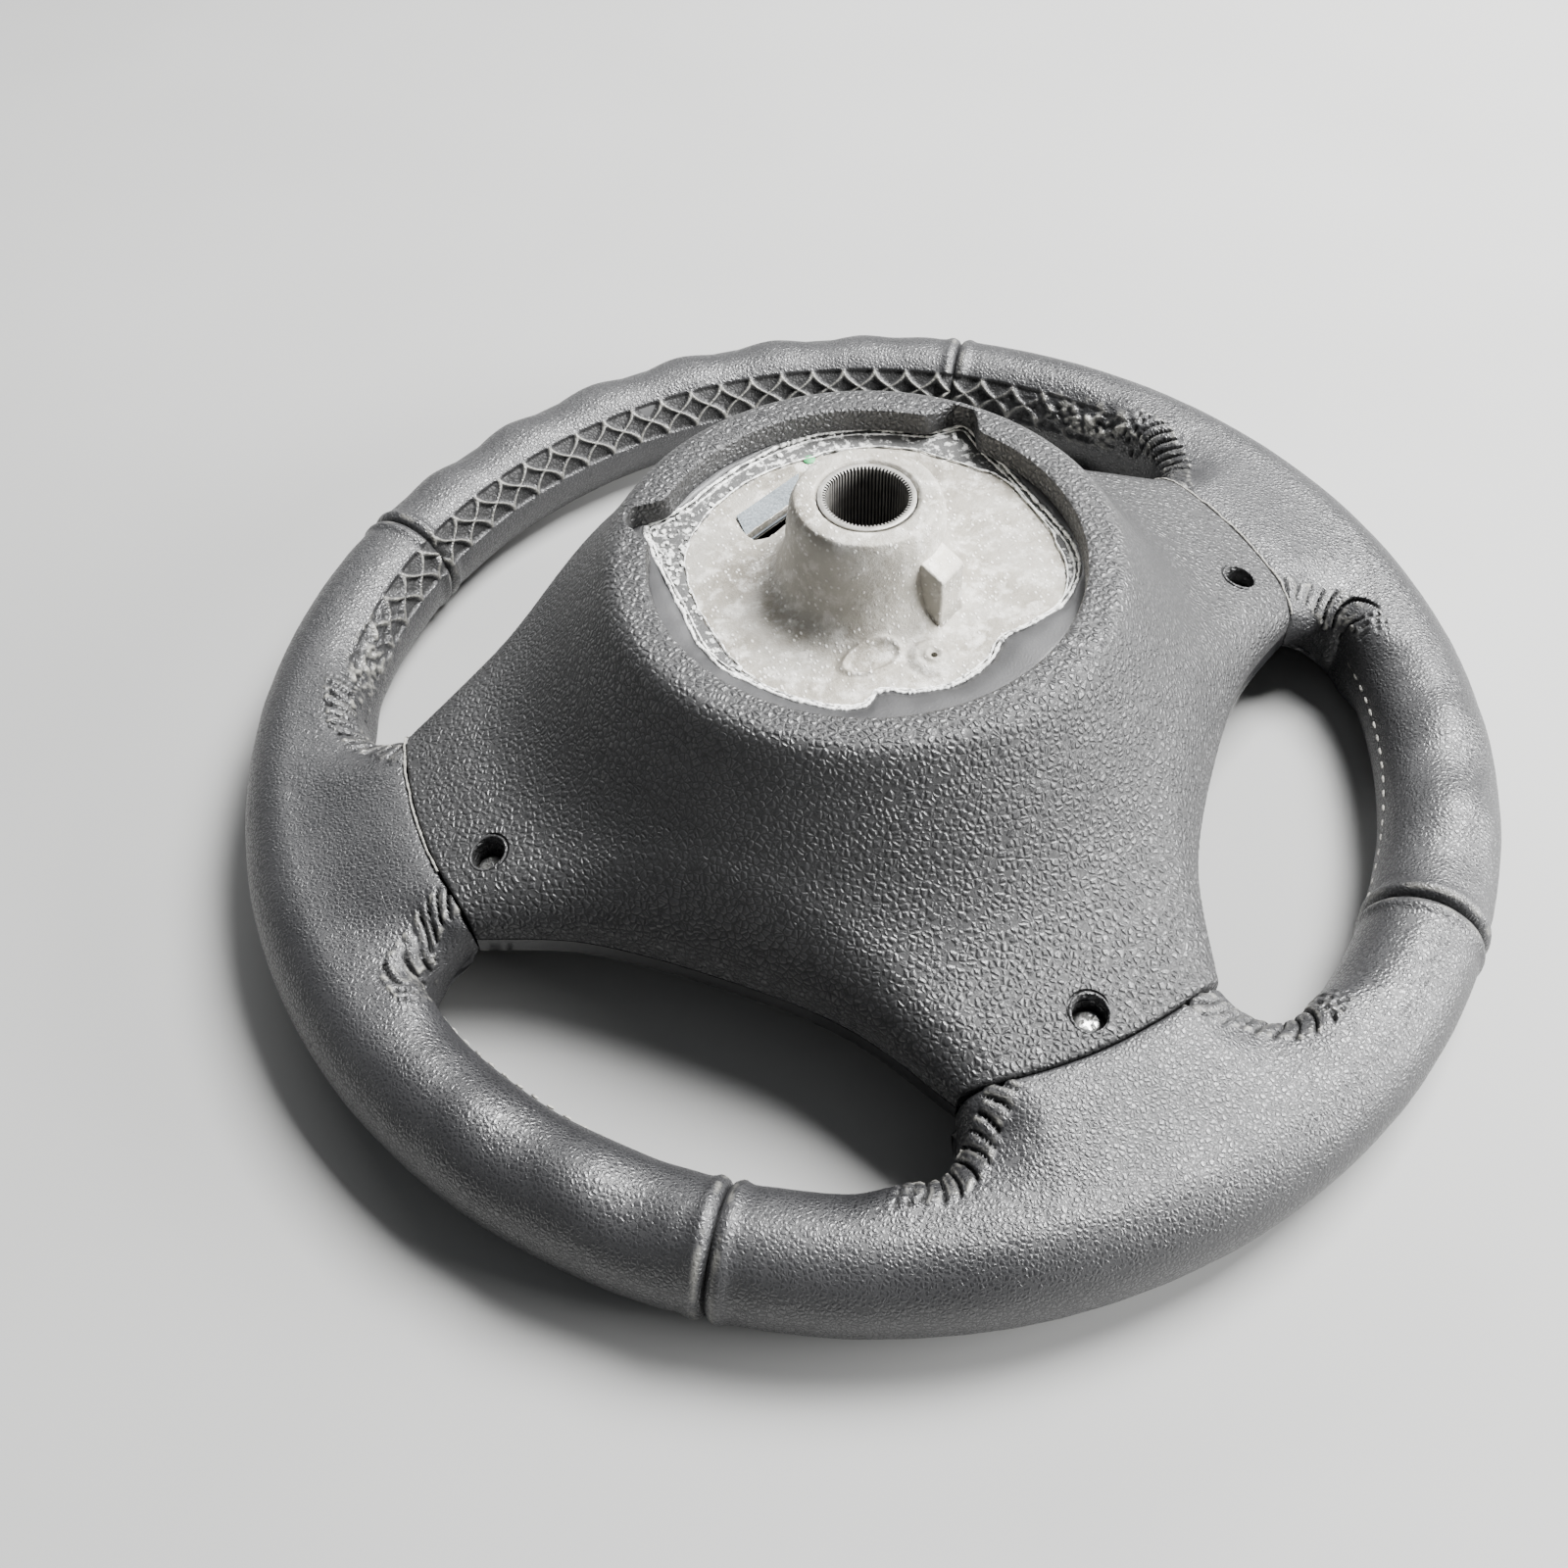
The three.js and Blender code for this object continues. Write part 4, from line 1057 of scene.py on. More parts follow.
PLATE_BACK = 82.0
PLATE_FRONT = 76.0
PLATE_RADIUS = 62.0
BOSS_TOP = 110.6
BORE = 13.25
LUG_ANGLE = -62.0
LUG_HALF = 5.2
LUG_REACH = 27.8
STUD = (2.3, -35.5)
SLOT_ANGLE = 20.7
CASTING_COLUMNS = 540
BOSS_SIDE = [
    (BORE, 76.4), (BORE, 109.6), (14.2, BOSS_TOP), (18.2, BOSS_TOP), (19.5, 109.6), (20.6, 106.5),
    (21.3, 101),
    (21.9, 95), (22.9, 90), (24.6, 86.4), (27.2, 83.8), (30.6, 82.4), (35, PLATE_BACK),
]


def casting_profile():
    """The boss's side and the plate's back at about 0.5 mm, then its rim and underside in few steps."""
    boss = np.array(BOSS_SIDE)
    bore = np.stack([np.full(10, BORE), np.linspace(76.4, 109.4, 10)], -1)
    side = curve_through(boss[2:], 6)
    top = np.stack([np.linspace(13.4, 14.2, 4), np.linspace(109.8, BOSS_TOP, 4)], -1)
    plate = np.stack([np.linspace(35.4, 61.4, 62), np.full(62, PLATE_BACK)], -1)
    rim = [(61.8, 81.8), (PLATE_RADIUS, 81.3), (PLATE_RADIUS, 76.6), (61.4, PLATE_FRONT)]
    under = np.stack([np.linspace(58, BORE + 0.5, 8), np.full(8, PLATE_FRONT)], -1)
    return np.vstack([bore, top, side, plate, rim, under])


def casting_surface():
    """The turned profile with what is cast on its plate: a low mound with a dimple, an oval ridge, a
    slope down to the slot, small lumps and blisters."""
    profile = casting_profile()
    angle = np.radians(np.linspace(0, 360, CASTING_COLUMNS, endpoint=False))
    radius = profile[:, :1] + 0 * angle
    height = profile[:, 1:] + 0 * angle
    outside = np.cumsum(profile[:, 0] >= 18.1)[:, None] > 0
    outside = outside & (profile[:, 1:] > 79)
    x, y = radius * np.cos(angle), radius * np.sin(angle)
    on_plate = outside & (radius < 61.5)
    from_stud = np.hypot(x - STUD[0], y - STUD[1])
    height = height + on_plate * (1.3 * rise(from_stud, 7.6, 4.4) + 0.7 * bump(from_stud, 2.1, 0.7))
    oval = ((x + 12.5) / 8) ** 2 + ((y + 29) / 4.5) ** 2
    height = height + on_plate * (0.9 * bump(np.sqrt(oval), 1.0, 0.13) - 0.3 * rise(oval, 1.0, 0.5))
    edge = -x * math.sin(math.radians(SLOT_ANGLE)) + y * math.cos(math.radians(SLOT_ANGLE))
    across = x * math.cos(math.radians(SLOT_ANGLE)) + y * math.sin(math.radians(SLOT_ANGLE))
    slope = rise(np.abs(across - 2.5), 15, 12.5) * rise(edge, 45.5, 37.5) * (edge > 30)
    height = height - on_plate * 2.0 * slope
    points = np.stack([x, y, height], -1)
    rough = 0.12 * lumps(points, 5, 21) + 0.10 * lumps(points, 1.7, 22) + 0.35 * lumps(points, 17, 23)
    blister = 0.5 * np.clip(lumps(points, 3.1, 24) - 0.62, 0, 1)
    height = height + on_plate * (radius > 27) * (rough + blister)
    radius = radius + (outside & (radius < 27)) * (0.10 * lumps(points, 2.0, 25))
    return np.stack([radius * np.cos(angle), radius * np.sin(angle), height], -1)


def upright(name, outline, low, high):
    """A flat outline carried up from low to high and capped."""
    outline = np.array(outline, float)
    grid = np.stack([np.column_stack([outline, np.full(len(outline), z)]) for z in (low, high)])
    return skin(name, grid, wrap_columns=True, cap_rows=True, sharp=35)


def turned_in_plan(points, degrees):
    """Plan points turned about the steering axis."""
    angle = math.radians(degrees)
    x, y = np.array(points, float).T
    cos, sin = math.cos(angle), math.sin(angle)
    return np.stack([x * cos - y * sin, x * sin + y * cos], -1)


def lug_surface():
    """An upright block: its plan, a rectangle with 0.9 mm corners, is carried up to a top that slopes
    down outwards, spreads in a fillet at its foot and draws in by a quarter round at its top."""
    inner = 14.0
    centre = ((inner + LUG_REACH) / 2, 0)
    rows = []
    steps = [(2.2, 81.0), (1.1, 81.9), (0.4, 83.2), (0, 85.5)]
    steps += [(0, height) for height in np.linspace(86.5, 97, 12)]
    for outwards, height in steps:
        line = soft_rectangle(centre, LUG_REACH - inner + 2 * outwards, 2 * LUG_HALF + 2 * outwards,
                              0.9 + outwards)
        rows.append(np.column_stack([line, np.full(len(line), height)]))
    for step in np.linspace(0, math.pi / 2, 5):
        drawn = 0.8 * (1 - math.cos(step))
        line = soft_rectangle(centre, LUG_REACH - inner - 2 * drawn, 2 * LUG_HALF - 2 * drawn,
                              max(0.9 - drawn, 0.15))
        top = 97.7 + 0.465 * (LUG_REACH - line[:, 0]) + 0.8 * math.sin(step)
        rows.append(np.column_stack([line, top]))
    grid = np.stack(rows)
    plan = turned_in_plan(grid[..., :2].reshape(-1, 2), LUG_ANGLE).reshape(*grid.shape[:2], 2)
    grid = np.concatenate([plan, grid[..., 2:]], -1)
    return grid + 0.10 * np.stack([lumps(grid, 3.0, seed) for seed in (26, 27, 28)], -1)


def soft_rectangle(centre, width, height, corner, count=96):
    """A rectangle with round corners: a small rectangle's corner points pushed out by `corner`."""
    angle = np.linspace(0, 2 * math.pi, count, endpoint=False) + 1e-4
    x = np.sign(np.cos(angle)) * (width / 2 - corner) + corner * np.cos(angle)
    y = np.sign(np.sin(angle)) * (height / 2 - corner) + corner * np.sin(angle)
    return np.stack([centre[0] + x, centre[1] + y], -1)


def cast_metal_material():
    """Dull sandy-grey casting with pale oxide specks and brown-grey stains. Between about 84 and 110 mm up,
    on the side of the boss and lug, the colour is painted lighter as painted light, where the lamps leave
    it dark.
    """
    material, nodes, links, shader = node_material("cast_metal_look")
    place = object_position(nodes)
    stain = noise(nodes, links, place, 50, 5, 0.6)
    plate = ramp(nodes, links, stain, [
        (0.30, (0.155, 0.14, 0.112)), (0.45, (0.25, 0.232, 0.195)), (0.58, (0.33, 0.315, 0.28)),
        (0.72, (0.21, 0.192, 0.155)),
    ])
    # A lighter copy of the plate's colour: painted light on the side of the boss and lug, which the lamps
    # leave dark.
    side = ramp(nodes, links, stain, [(0.32, (0.31, 0.29, 0.25)), (0.66, (0.50, 0.475, 0.42))])
    split = nodes.new("ShaderNodeSeparateXYZ")
    links.new(place, split.inputs["Vector"])
    # Mask of the heights where the lighter colour is painted on as painted light.
    boss_side_painted_light = math_node(nodes, links, "MULTIPLY", span(nodes, links, split.outputs["Z"], 0.0842, 0.0885),
                        span(nodes, links, split.outputs["Z"], 0.1095, 0.1075))
    base = blend(nodes, links, boss_side_painted_light, plate, side)
    speck = nodes.new("ShaderNodeTexVoronoi")
    speck.inputs["Scale"].default_value = 640
    stretch = nodes.new("ShaderNodeVectorMath")
    stretch.operation = "MULTIPLY"
    stretch.inputs[1].default_value = (1.25, 0.8, 1.0)
    links.new(place, stretch.inputs[0])
    links.new(stretch.outputs["Vector"], speck.inputs["Vector"])
    dot = span(nodes, links, speck.outputs["Distance"], 0.20, 0.34, 1, 0)
    lit = nodes.new("ShaderNodeSeparateColor")
    links.new(speck.outputs["Color"], lit.inputs["Color"])
    half = math_node(nodes, links, "GREATER_THAN", lit.outputs["Red"], 0.50)
    chosen = math_node(nodes, links, "MULTIPLY", dot, half)
    powder = span(nodes, links, noise(nodes, links, place, 190, 5, 0.7), 0.50, 0.68, 0, 0.6)
    white = math_node(nodes, links, "MAXIMUM", math_node(nodes, links, "MULTIPLY", chosen, 0.85), powder)
    links.new(blend(nodes, links, white, base, (0.74, 0.72, 0.68)), shader.inputs["Base Color"])
    links.new(span(nodes, links, white, 0, 1, 0.30, 0.02), shader.inputs["Metallic"])
    links.new(span(nodes, links, stain, 0.3, 0.7, 0.5, 0.68), shader.inputs["Roughness"])
    sand = math_node(nodes, links, "MULTIPLY_ADD", chosen, 0.6, noise(nodes, links, place, 1100, 5, 0.65))
    raise_by(nodes, links, shader, sand, 0.00034, 0.8)
    return material


cast_metal = cast_metal_material()
hub = skin("hub_plate_and_boss", casting_surface(), wrap_rows=True, wrap_columns=True, sharp=50)
SLOT_CORNERS = [(-9.5, 34), (-9.5, 37), (13, 37), (15, 34.5), (13, 31.4), (-6, 31.4)]
slot_outline = turned_in_plan(SLOT_CORNERS, SLOT_ANGLE)
cut_from(hub, [
    upright("slot_cut", slot_outline, 70, 90),
    turned("stud_hole", [(0.9, 72), (0.9, 90)], 24, STUD),
], 50)
finish_piece(hub, cast_metal, replaces=["hub_casting"])
lug = skin("boss_lug", lug_surface(), wrap_columns=True, cap_rows=True, sharp=50)
finish_piece(lug, cast_metal, replaces=["hub_casting"])

ARM_MIDDLE = [
    (52, 79), (61, 77.6), (71, 67.5), (84, 54), (98, 41.8), (110, 36.4), (118, 31.5), (124, 26), (131, 19),
    (161, 19),
]
ARM_HALF_DEPTH = [
    (52, 2.8), (61, 3.0), (84, 4.6), (98, 4.6), (110, 4.3), (118, 3.8), (124, 4.6), (131, 4.8), (161, 4.8),
]
ARM_HALF_WIDTH = 12.5


def casting_arm(side, degrees):
    """A rounded bar of oval-cornered section, |u|^4 + |v|^4 = 1, carried along the arm's side view."""
    line = spaced(curve_through(ARM_MIDDLE, 30), 1.6)
    half_depth = np.interp(line[:, 0], *np.array(ARM_HALF_DEPTH).T)
    angle = np.linspace(0, 2 * math.pi, 56, endpoint=False)[:, None]
    v = np.sign(np.sin(angle)) * np.abs(np.sin(angle)) ** 0.5
    u = np.sign(np.cos(angle)) * np.abs(np.cos(angle)) ** 0.5
    along = np.gradient(line, axis=0)
    along /= np.linalg.norm(along, axis=1, keepdims=True)
    radius = line[:, 0] - along[:, 1] * half_depth * v
    height = line[:, 1] + along[:, 0] * half_depth * v
    aside = ARM_HALF_WIDTH * u + 0 * radius
    turn = math.radians(degrees)
    grid = np.stack([radius * math.cos(turn) - aside * math.sin(turn),
                     radius * math.sin(turn) + aside * math.cos(turn), height], -1)
    arm = skin(f"casting_arm_{side}", grid, wrap_rows=True, cap_columns=True)
    finish_piece(arm, cast_metal, replaces=["hub_casting"])


for arm_side, arm_angle in {"right": 0, "left": 180, "bottom": 270}.items():
    casting_arm(arm_side, arm_angle)
    post_place = ACCESS_HOLES[arm_side]
    post = turned(f"screw_post_{arm_side}", [
        (2.1, 24), (2.1, 35.5), (4.4, 35.5), (4.8, 35), (4.8, 24),
    ], 48, post_place, closed=True)
    finish_piece(post, cast_metal, replaces=["hub_casting"])

# ---- spline sleeve --------------------------------------------------------------------------------
# A broached steel sleeve pressed into the boss, with 72 fine teeth that slip over the column's end.

TEETH = 72
TOOTH_DEPTH = 0.75
SPLINE_RADIUS = 10.64
SLEEVE_RADIUS = 12.95


def sleeve_surface():
    """Round the bore, the inner radius steps out and in once a tooth, as a clipped sine wave."""
    angle = np.linspace(0, 2 * math.pi, TEETH * 10, endpoint=False)
    gap = np.clip(0.5 + 1.1 * np.sin(TEETH * angle), 0, 1)
    teeth = SPLINE_RADIUS + TOOTH_DEPTH * gap
    even_bore = np.full_like(angle, SPLINE_RADIUS + TOOTH_DEPTH)
    rows = [(even_bore + 0.2, 77.0), (teeth, 77.6)]
    rows += [(teeth, z) for z in np.linspace(80, 109.5, 12)]
    rows += [(teeth + 0.25, 110.1), (even_bore + 0.35, 110.35), (even_bore + 0.9, 110.4)]
    rows += [(np.full_like(angle, SLEEVE_RADIUS), 110.2), (np.full_like(angle, SLEEVE_RADIUS), 77.0)]
    radius = np.stack([row[0] for row in rows])
    height = np.array([row[1] for row in rows])[:, None] + 0 * angle
    return np.stack([radius * np.cos(angle), radius * np.sin(angle), height], -1)


def steel_material(name, tone, rough):
    """Steel with faint scratches along the axis, dull patches and a little oil."""
    material, nodes, links, shader = node_material(name)
    place = object_position(nodes)
    patch = noise(nodes, links, place, 120, 4)
    scratch = noise(nodes, links, place, 1800, 3)
    shade = ramp(nodes, links, patch, [(0.3, tuple(0.7 * c for c in tone)), (0.7, tone)])
    links.new(shade, shader.inputs["Base Color"])
    shader.inputs["Metallic"].default_value = 1.0
    links.new(span(nodes, links, scratch, 0.3, 0.7, rough - 0.07, rough + 0.1), shader.inputs["Roughness"])
    raise_by(nodes, links, shader, scratch, 0.00006, 0.5)
    return material


def broached_material():
    """The sleeve's steel: bright tooth tops, and gaps between them painted dark as painted shade."""
    material, nodes, links, shader = node_material("broached_steel_look")
    place = object_position(nodes)
    patch = noise(nodes, links, place, 300, 4)
    tone = ramp(nodes, links, patch, [(0.3, (0.19, 0.185, 0.17)), (0.7, (0.31, 0.30, 0.28))])
    wear_and_painted_shade = nodes.new("ShaderNodeAttribute")
    wear_and_painted_shade.attribute_name = "wear_and_painted_shade"
    # The gaps between the teeth are painted near black as painted shade.
    gap = span(nodes, links, wear_and_painted_shade.outputs["Fac"], -0.1, -0.8)
    links.new(blend(nodes, links, gap, tone, (0.012, 0.012, 0.012)), shader.inputs["Base Color"])
    links.new(span(nodes, links, gap, 0, 1, 0.35, 0.1), shader.inputs["Metallic"])
    links.new(span(nodes, links, patch, 0.3, 0.7, 0.35, 0.5), shader.inputs["Roughness"])
    return material


zinc_steel = steel_material("zinc_steel_look", (0.56, 0.56, 0.55), 0.33)
bright_zinc = steel_material("bright_zinc_look", (0.10, 0.112, 0.12), 0.6)
broached_steel = broached_material()
sleeve_grid = sleeve_surface()
sleeve_radius = np.hypot(sleeve_grid[..., 0], sleeve_grid[..., 1])
# Painted shade: below 0 in the gaps between the teeth, which the material paints dark.
painted_gap_shade = -rise(sleeve_radius, SPLINE_RADIUS + 0.05, SPLINE_RADIUS + 0.6)
painted_gap_shade[[0, -1, -2, -3, -4]] = 0.6
sleeve = skin("splined_sleeve", sleeve_grid, wrap_rows=True, wrap_columns=True, sharp=30, wear_and_painted_shade=painted_gap_shade)
finish_piece(sleeve, broached_steel, replaces=["spline_sleeve"])

# ---- foam skin in the well ------------------------------------------------------------------------
# The rim's foam runs on as a thin dark ledge under the ring. Its edge over the casting is uneven, with
# torn whitish flash along it, and a grey film of foam spreads from there onto the plate.

FLASH_LINE = [
    (-60, 44), (-48, 49), (-37, 54.7), (-21, 58.7), (2, 56.3), (15, 58), (27.6, 61.6), (34, 65.5),
    (38.6, 68.6),
    (43, 64.5), (48, 61.6), (64.5, 60.6), (82, 59.6), (101, 57.4), (115, 56.8), (126, 57.6),
    (133, 61), (138, 64.5),
    (144, 61), (153, 56.3), (163, 53), (173, 51.4), (193, 51.7), (218, 50), (234, 50), (243, 48.7),
    (247, 44.5),
    (251, 43.6), (258, 45.2), (274, 47), (288, 46),
]
FILM_LINE = [
    (-60, 43.2), (-37, 53.4), (-10, 54.6), (5, 54.4), (20, 55.6), (33, 53.6), (50, 54), (67, 53.1),
    (86, 51.2), (104, 51.1), (122, 50.9),
    (141.5, 50.8), (156, 48.8), (171, 46.6), (189, 46.4), (210, 48.4), (234, 48.8), (243, 47.6),
    (251, 42.8), (258, 44.2), (274, 46), (288, 45),
]
LEDGE_OUTSIDE = 60.4


def radius_along(table, angle):
    """Radius at each bearing in radians, by a smooth curve through (degrees, radius) points."""
    knots = np.array(table, float)
    first, last = knots[-3:] - (360, 0), knots[:3] + (360, 0)
    curve = curve_through(np.vstack([first, knots, last]), 24)
    return np.interp((np.degrees(angle) + 60) % 360 - 60, curve[:, 0], curve[:, 1])


def around(angle, radius, height):
    """Points at a bearing in radians, a radius and a height."""
    return np.stack([radius * np.cos(angle), radius * np.sin(angle), height + 0 * angle], -1)


def ledge_edge(angle):
    """Radius of the ledge's uneven edge at each bearing in radians."""
    return radius_along(FLASH_LINE, angle) + 0.45 * lumps(around(angle, 30, 0), 1.6, 31)


def ledge_surface():
    """The ledge of foam skin: its ragged inner face, a rounded lip, a nearly flat top and its underside."""
    angle = np.linspace(0, 2 * math.pi, 900, endpoint=False)
    edge = ledge_edge(angle)
    outside = np.maximum(np.maximum(edge + 1.5, LEDGE_OUTSIDE), opening_radius(np.degrees(angle)) + 0.4)
    width = outside - edge
    rows = [(edge + 0.1, 81.9), (edge, 82.6), (edge + 0.3 * np.minimum(1, width), 83.2)]
    for share, height in [(0.15, 83.7), (0.4, 83.95), (0.7, 84.05), (1, 84.1)]:
        rows.append((edge + width * share, height))
    rows.append((outside, 81.9))
    points = np.stack([around(angle, radius, height) for radius, height in rows])
    points[2:7, :, 2] += 0.12 * lumps(points[2:7], 6, 33)
    return points


def film_surface():
    """A film up to 0.5 mm thick between the two lines, its edges feathered and ragged."""
    angle = np.linspace(0, 2 * math.pi, 1200, endpoint=False)
    ragged = lumps(around(angle, 45, 0), 1.1, 37)
    inner = radius_along(FILM_LINE, angle) + 0.5 * ragged
    outer = ledge_edge(angle) + 0.6
    inner = np.minimum(inner, outer - 0.8)
    rows = [around(angle, inner, 81.7)]
    for share, height in [(0, 82.0), (0.08, 82.35), (0.3, 82.5), (0.55, 82.45), (0.8, 82.5), (1, 82.6)]:
        rows.append(around(angle, inner + (outer - inner) * share, height))
    rows.append(around(angle, outer, 81.7))
    points = np.stack(rows)
    points[1:7, :, 2] += 0.16 * lumps(points[1:7], 1.4, 38)
    return points


def flash_material(name, low, high, stops):
    """Torn foam skin: chalky white flakes over grey, more of them the lower the two stops are."""
    material, nodes, links, shader = node_material(name)
    place = object_position(nodes)
    patch = noise(nodes, links, place, 420, 5, 0.62)
    colours = [(stops[0], (low, low, low * 0.98)), (stops[1], (high, high, high * 0.97))]
    tone = ramp(nodes, links, patch, colours)
    links.new(tone, shader.inputs["Base Color"])
    links.new(span(nodes, links, patch, 0.3, 0.7, 0.5, 0.85), shader.inputs["Roughness"])
    raise_by(nodes, links, shader, noise(nodes, links, place, 1600, 4), 0.0003, 0.9)
    return material


flash = flash_material("foam_flash_look", 0.22, 0.80, (0.38, 0.50))
film = flash_material("foam_film_look", 0.055, 0.60, (0.53, 0.62))
ledge = skin("foam_ledge_skin", ledge_surface(), wrap_rows=True, wrap_columns=True)
finish_piece(ledge, skin_foam, replaces=["foam_ledge"])
finish_piece(skin("foam_film", film_surface(), wrap_rows=True, wrap_columns=True), film)
for bead_name, inset, size, seed in [
    ("flash_line_outer", 0.1, 0.55, 35), ("flash_line_middle", 1.5, 0.34, 36),
    ("flash_line_inner", None, 0.24, 37),
]:
    bead_angle = np.linspace(0, 2 * math.pi, 1400, endpoint=False)
    wander = 0.35 * lumps(around(bead_angle, 40, inset or 9), 3.0, seed)
    if inset is None:
        line_radius = radius_along(FILM_LINE, bead_angle) + wander
    else:
        line_radius = radius_along(FLASH_LINE, bead_angle) - inset + wander
    path = around(bead_angle, line_radius, 83.15 if inset == 0.1 else 82.6)
    fine, coarse = lumps(path, 1.2, seed + 10), lumps(path, 5, seed + 20)
    thickness = size * (0.45 + 1.1 * np.abs(fine) + 0.5 * np.abs(coarse))
    bead(bead_name, path, thickness, flash)


def flakes(count):
    """Loose scraps of flash: flat six-sided chips strewn between the two lines, mostly at the left."""
    random = np.random.default_rng(61)
    points, faces = [], []
    for _ in range(count):
        bearing = math.radians(random.normal(142, 8) if random.random() < 0.6 else random.uniform(20, 240))
        low, high = radius_along(FILM_LINE, np.array([bearing]))[0], ledge_edge(np.array([bearing]))[0]
        radius = random.uniform(low, high)
        size = random.uniform(0.3, 1.1)
        turn = random.uniform(0, 2 * math.pi) + np.linspace(0, 2 * math.pi, 6, endpoint=False)
        reach = size * random.uniform(0.5, 1.0, 6)
        x = radius * math.cos(bearing) + reach * np.cos(turn)
        y = radius * math.sin(bearing) + reach * np.sin(turn)
        base = len(points) * 12
        tilt = 0.25 * np.sin(turn)
        below = np.column_stack([x, y, 82.3 + 0 * x])
        points.append(np.vstack([below, np.column_stack([x, y, 82.95 + tilt])]))
        faces += [[base + k, base + (k + 1) % 6, base + 6 + (k + 1) % 6, base + 6 + k] for k in range(6)]
        faces += [list(range(base + 5, base - 1, -1)), list(range(base + 6, base + 12))]
    mesh = bpy.data.meshes.new("flash_flakes")
    mesh.from_pydata((np.vstack(points) / 1000).tolist(), [], faces)
    piece = bpy.data.objects.new("flash_flakes", mesh)
    bpy.context.scene.collection.objects.link(piece)
    finish_piece(turn_outwards(piece), flash)


def slot_lip(name, near, far, near_height, far_height, material):
    """A thin strip beside the slot, level along it and sloping across it."""
    ends = np.linspace(-9.5, 15.5, 26)
    row = [(near, near_height), (far, far_height), (far, far_height - 0.5), (near, near_height - 0.5)]
    grid = np.stack([np.column_stack([
        turned_in_plan(np.column_stack([ends + 0.35 * (v - near), 0 * ends + v]), SLOT_ANGLE), 0 * ends + z,
    ]) for v, z in row])
    piece = skin(name, grid, wrap_rows=True, cap_columns=True, sharp=30)
    finish_piece(piece, material)


def paint_material():
    """A dab of green inspection paint, thin enough at its edge to let the casting through."""
    material, nodes, links, shader = node_material("green_paint_look")
    patch = noise(nodes, links, object_position(nodes), 700, 3)
    tone = ramp(nodes, links, patch, [(0.3, (0.02, 0.22, 0.07)), (0.7, (0.05, 0.36, 0.13))])
    links.new(tone, shader.inputs["Base Color"])
    links.new(span(nodes, links, patch, 0.3, 0.7, 0.4, 0.6), shader.inputs["Roughness"])
    return material


flakes(110)
slot_lip("slot_bevel", 37.2, 43.0, 79.9, 82.1, bright_zinc)
slot_lip("slot_strip", 35.1, 35.7, 79.2, 79.2, bright_zinc)
paint_dot = turned("paint_dot", [(1.7, 82.0), (1.75, 82.3), (1.2, 82.55), (0.3, 82.6)], 24, (6.6, 50.4))
finish_piece(paint_dot, paint_material())

# ---- screws in the access holes -------------------------------------------------------------------
# Zinc-plated pan-head screws with a cross recess hold the cover and the trim to the casting.

SCREW_HEAD = 3.7


def screw_surface(place):
    """Shank, underside, rounded head, then a recess: inside the cross |x| or |y| < 0.8 mm and within
    2.6 mm of the centre the top drops by 1.6 mm."""
    profile = np.array([
        (0.3, 24), (1.3, 24.2), (1.7, 25.5), (1.7, 35.7), (3.5, 35.7), (SCREW_HEAD, 36.0),
        (SCREW_HEAD, 37.0),
        (3.4, 37.7), (3.0, 38.1), (2.6, 38.3), (2.3, 38.4), (1.9, 38.5), (1.5, 38.55), (1.1, 38.6),
        (0.7, 38.6),
        (0.35, 38.6), (0.12, 38.6),
    ])
    angle = np.linspace(0, 2 * math.pi, 96, endpoint=False)
    x, y = profile[:, :1] * np.cos(angle), profile[:, :1] * np.sin(angle)
    top = profile[:, 1:] > 37.9
    cross = rise(np.minimum(np.abs(x), np.abs(y)), 0.85, 0.6) * rise(profile[:, :1], 2.5, 2.1) * top
    z = profile[:, 1:] - 1.5 * cross
    return np.stack([place[0] + x, place[1] + y, z], -1)


for screw_side, screw_place in ACCESS_HOLES.items():
    screw_grid = screw_surface(screw_place)
    screw = skin(f"cover_screw_{screw_side}", screw_grid, wrap_columns=True, cap_rows=True, sharp=40)
    finish_piece(screw, zinc_steel, replaces=[f"spoke_screw_{screw_side}"])

# ---- front trim -----------------------------------------------------------------------------------
# A gloss plastic shell on the driver's side, with the opening for the horn pad and two switch windows.

TRIM_FACE = 9.0
TRIM_TURN = 14.0
TRIM_TURN_WIDTH = 15.0
TRIM_WALL = 2.6
TRIM_BACK = 28.2
PAD_OPENING = 79.0
POD_CENTRE = (100.5, 4.0)
POD_SIZE = (31.4, 51.4)


def trim_front(x, y):
    """Height of the driver's face: it turns back towards its edges by 14 mm over the last 15 mm, as
    (1 - t)^1.25 with t the distance from the side edge over 15 mm."""
    t = np.clip(from_side_edge(x, y) / TRIM_TURN_WIDTH, 0, 1)
    return TRIM_FACE + TRIM_TURN * (1 - t) ** 1.25


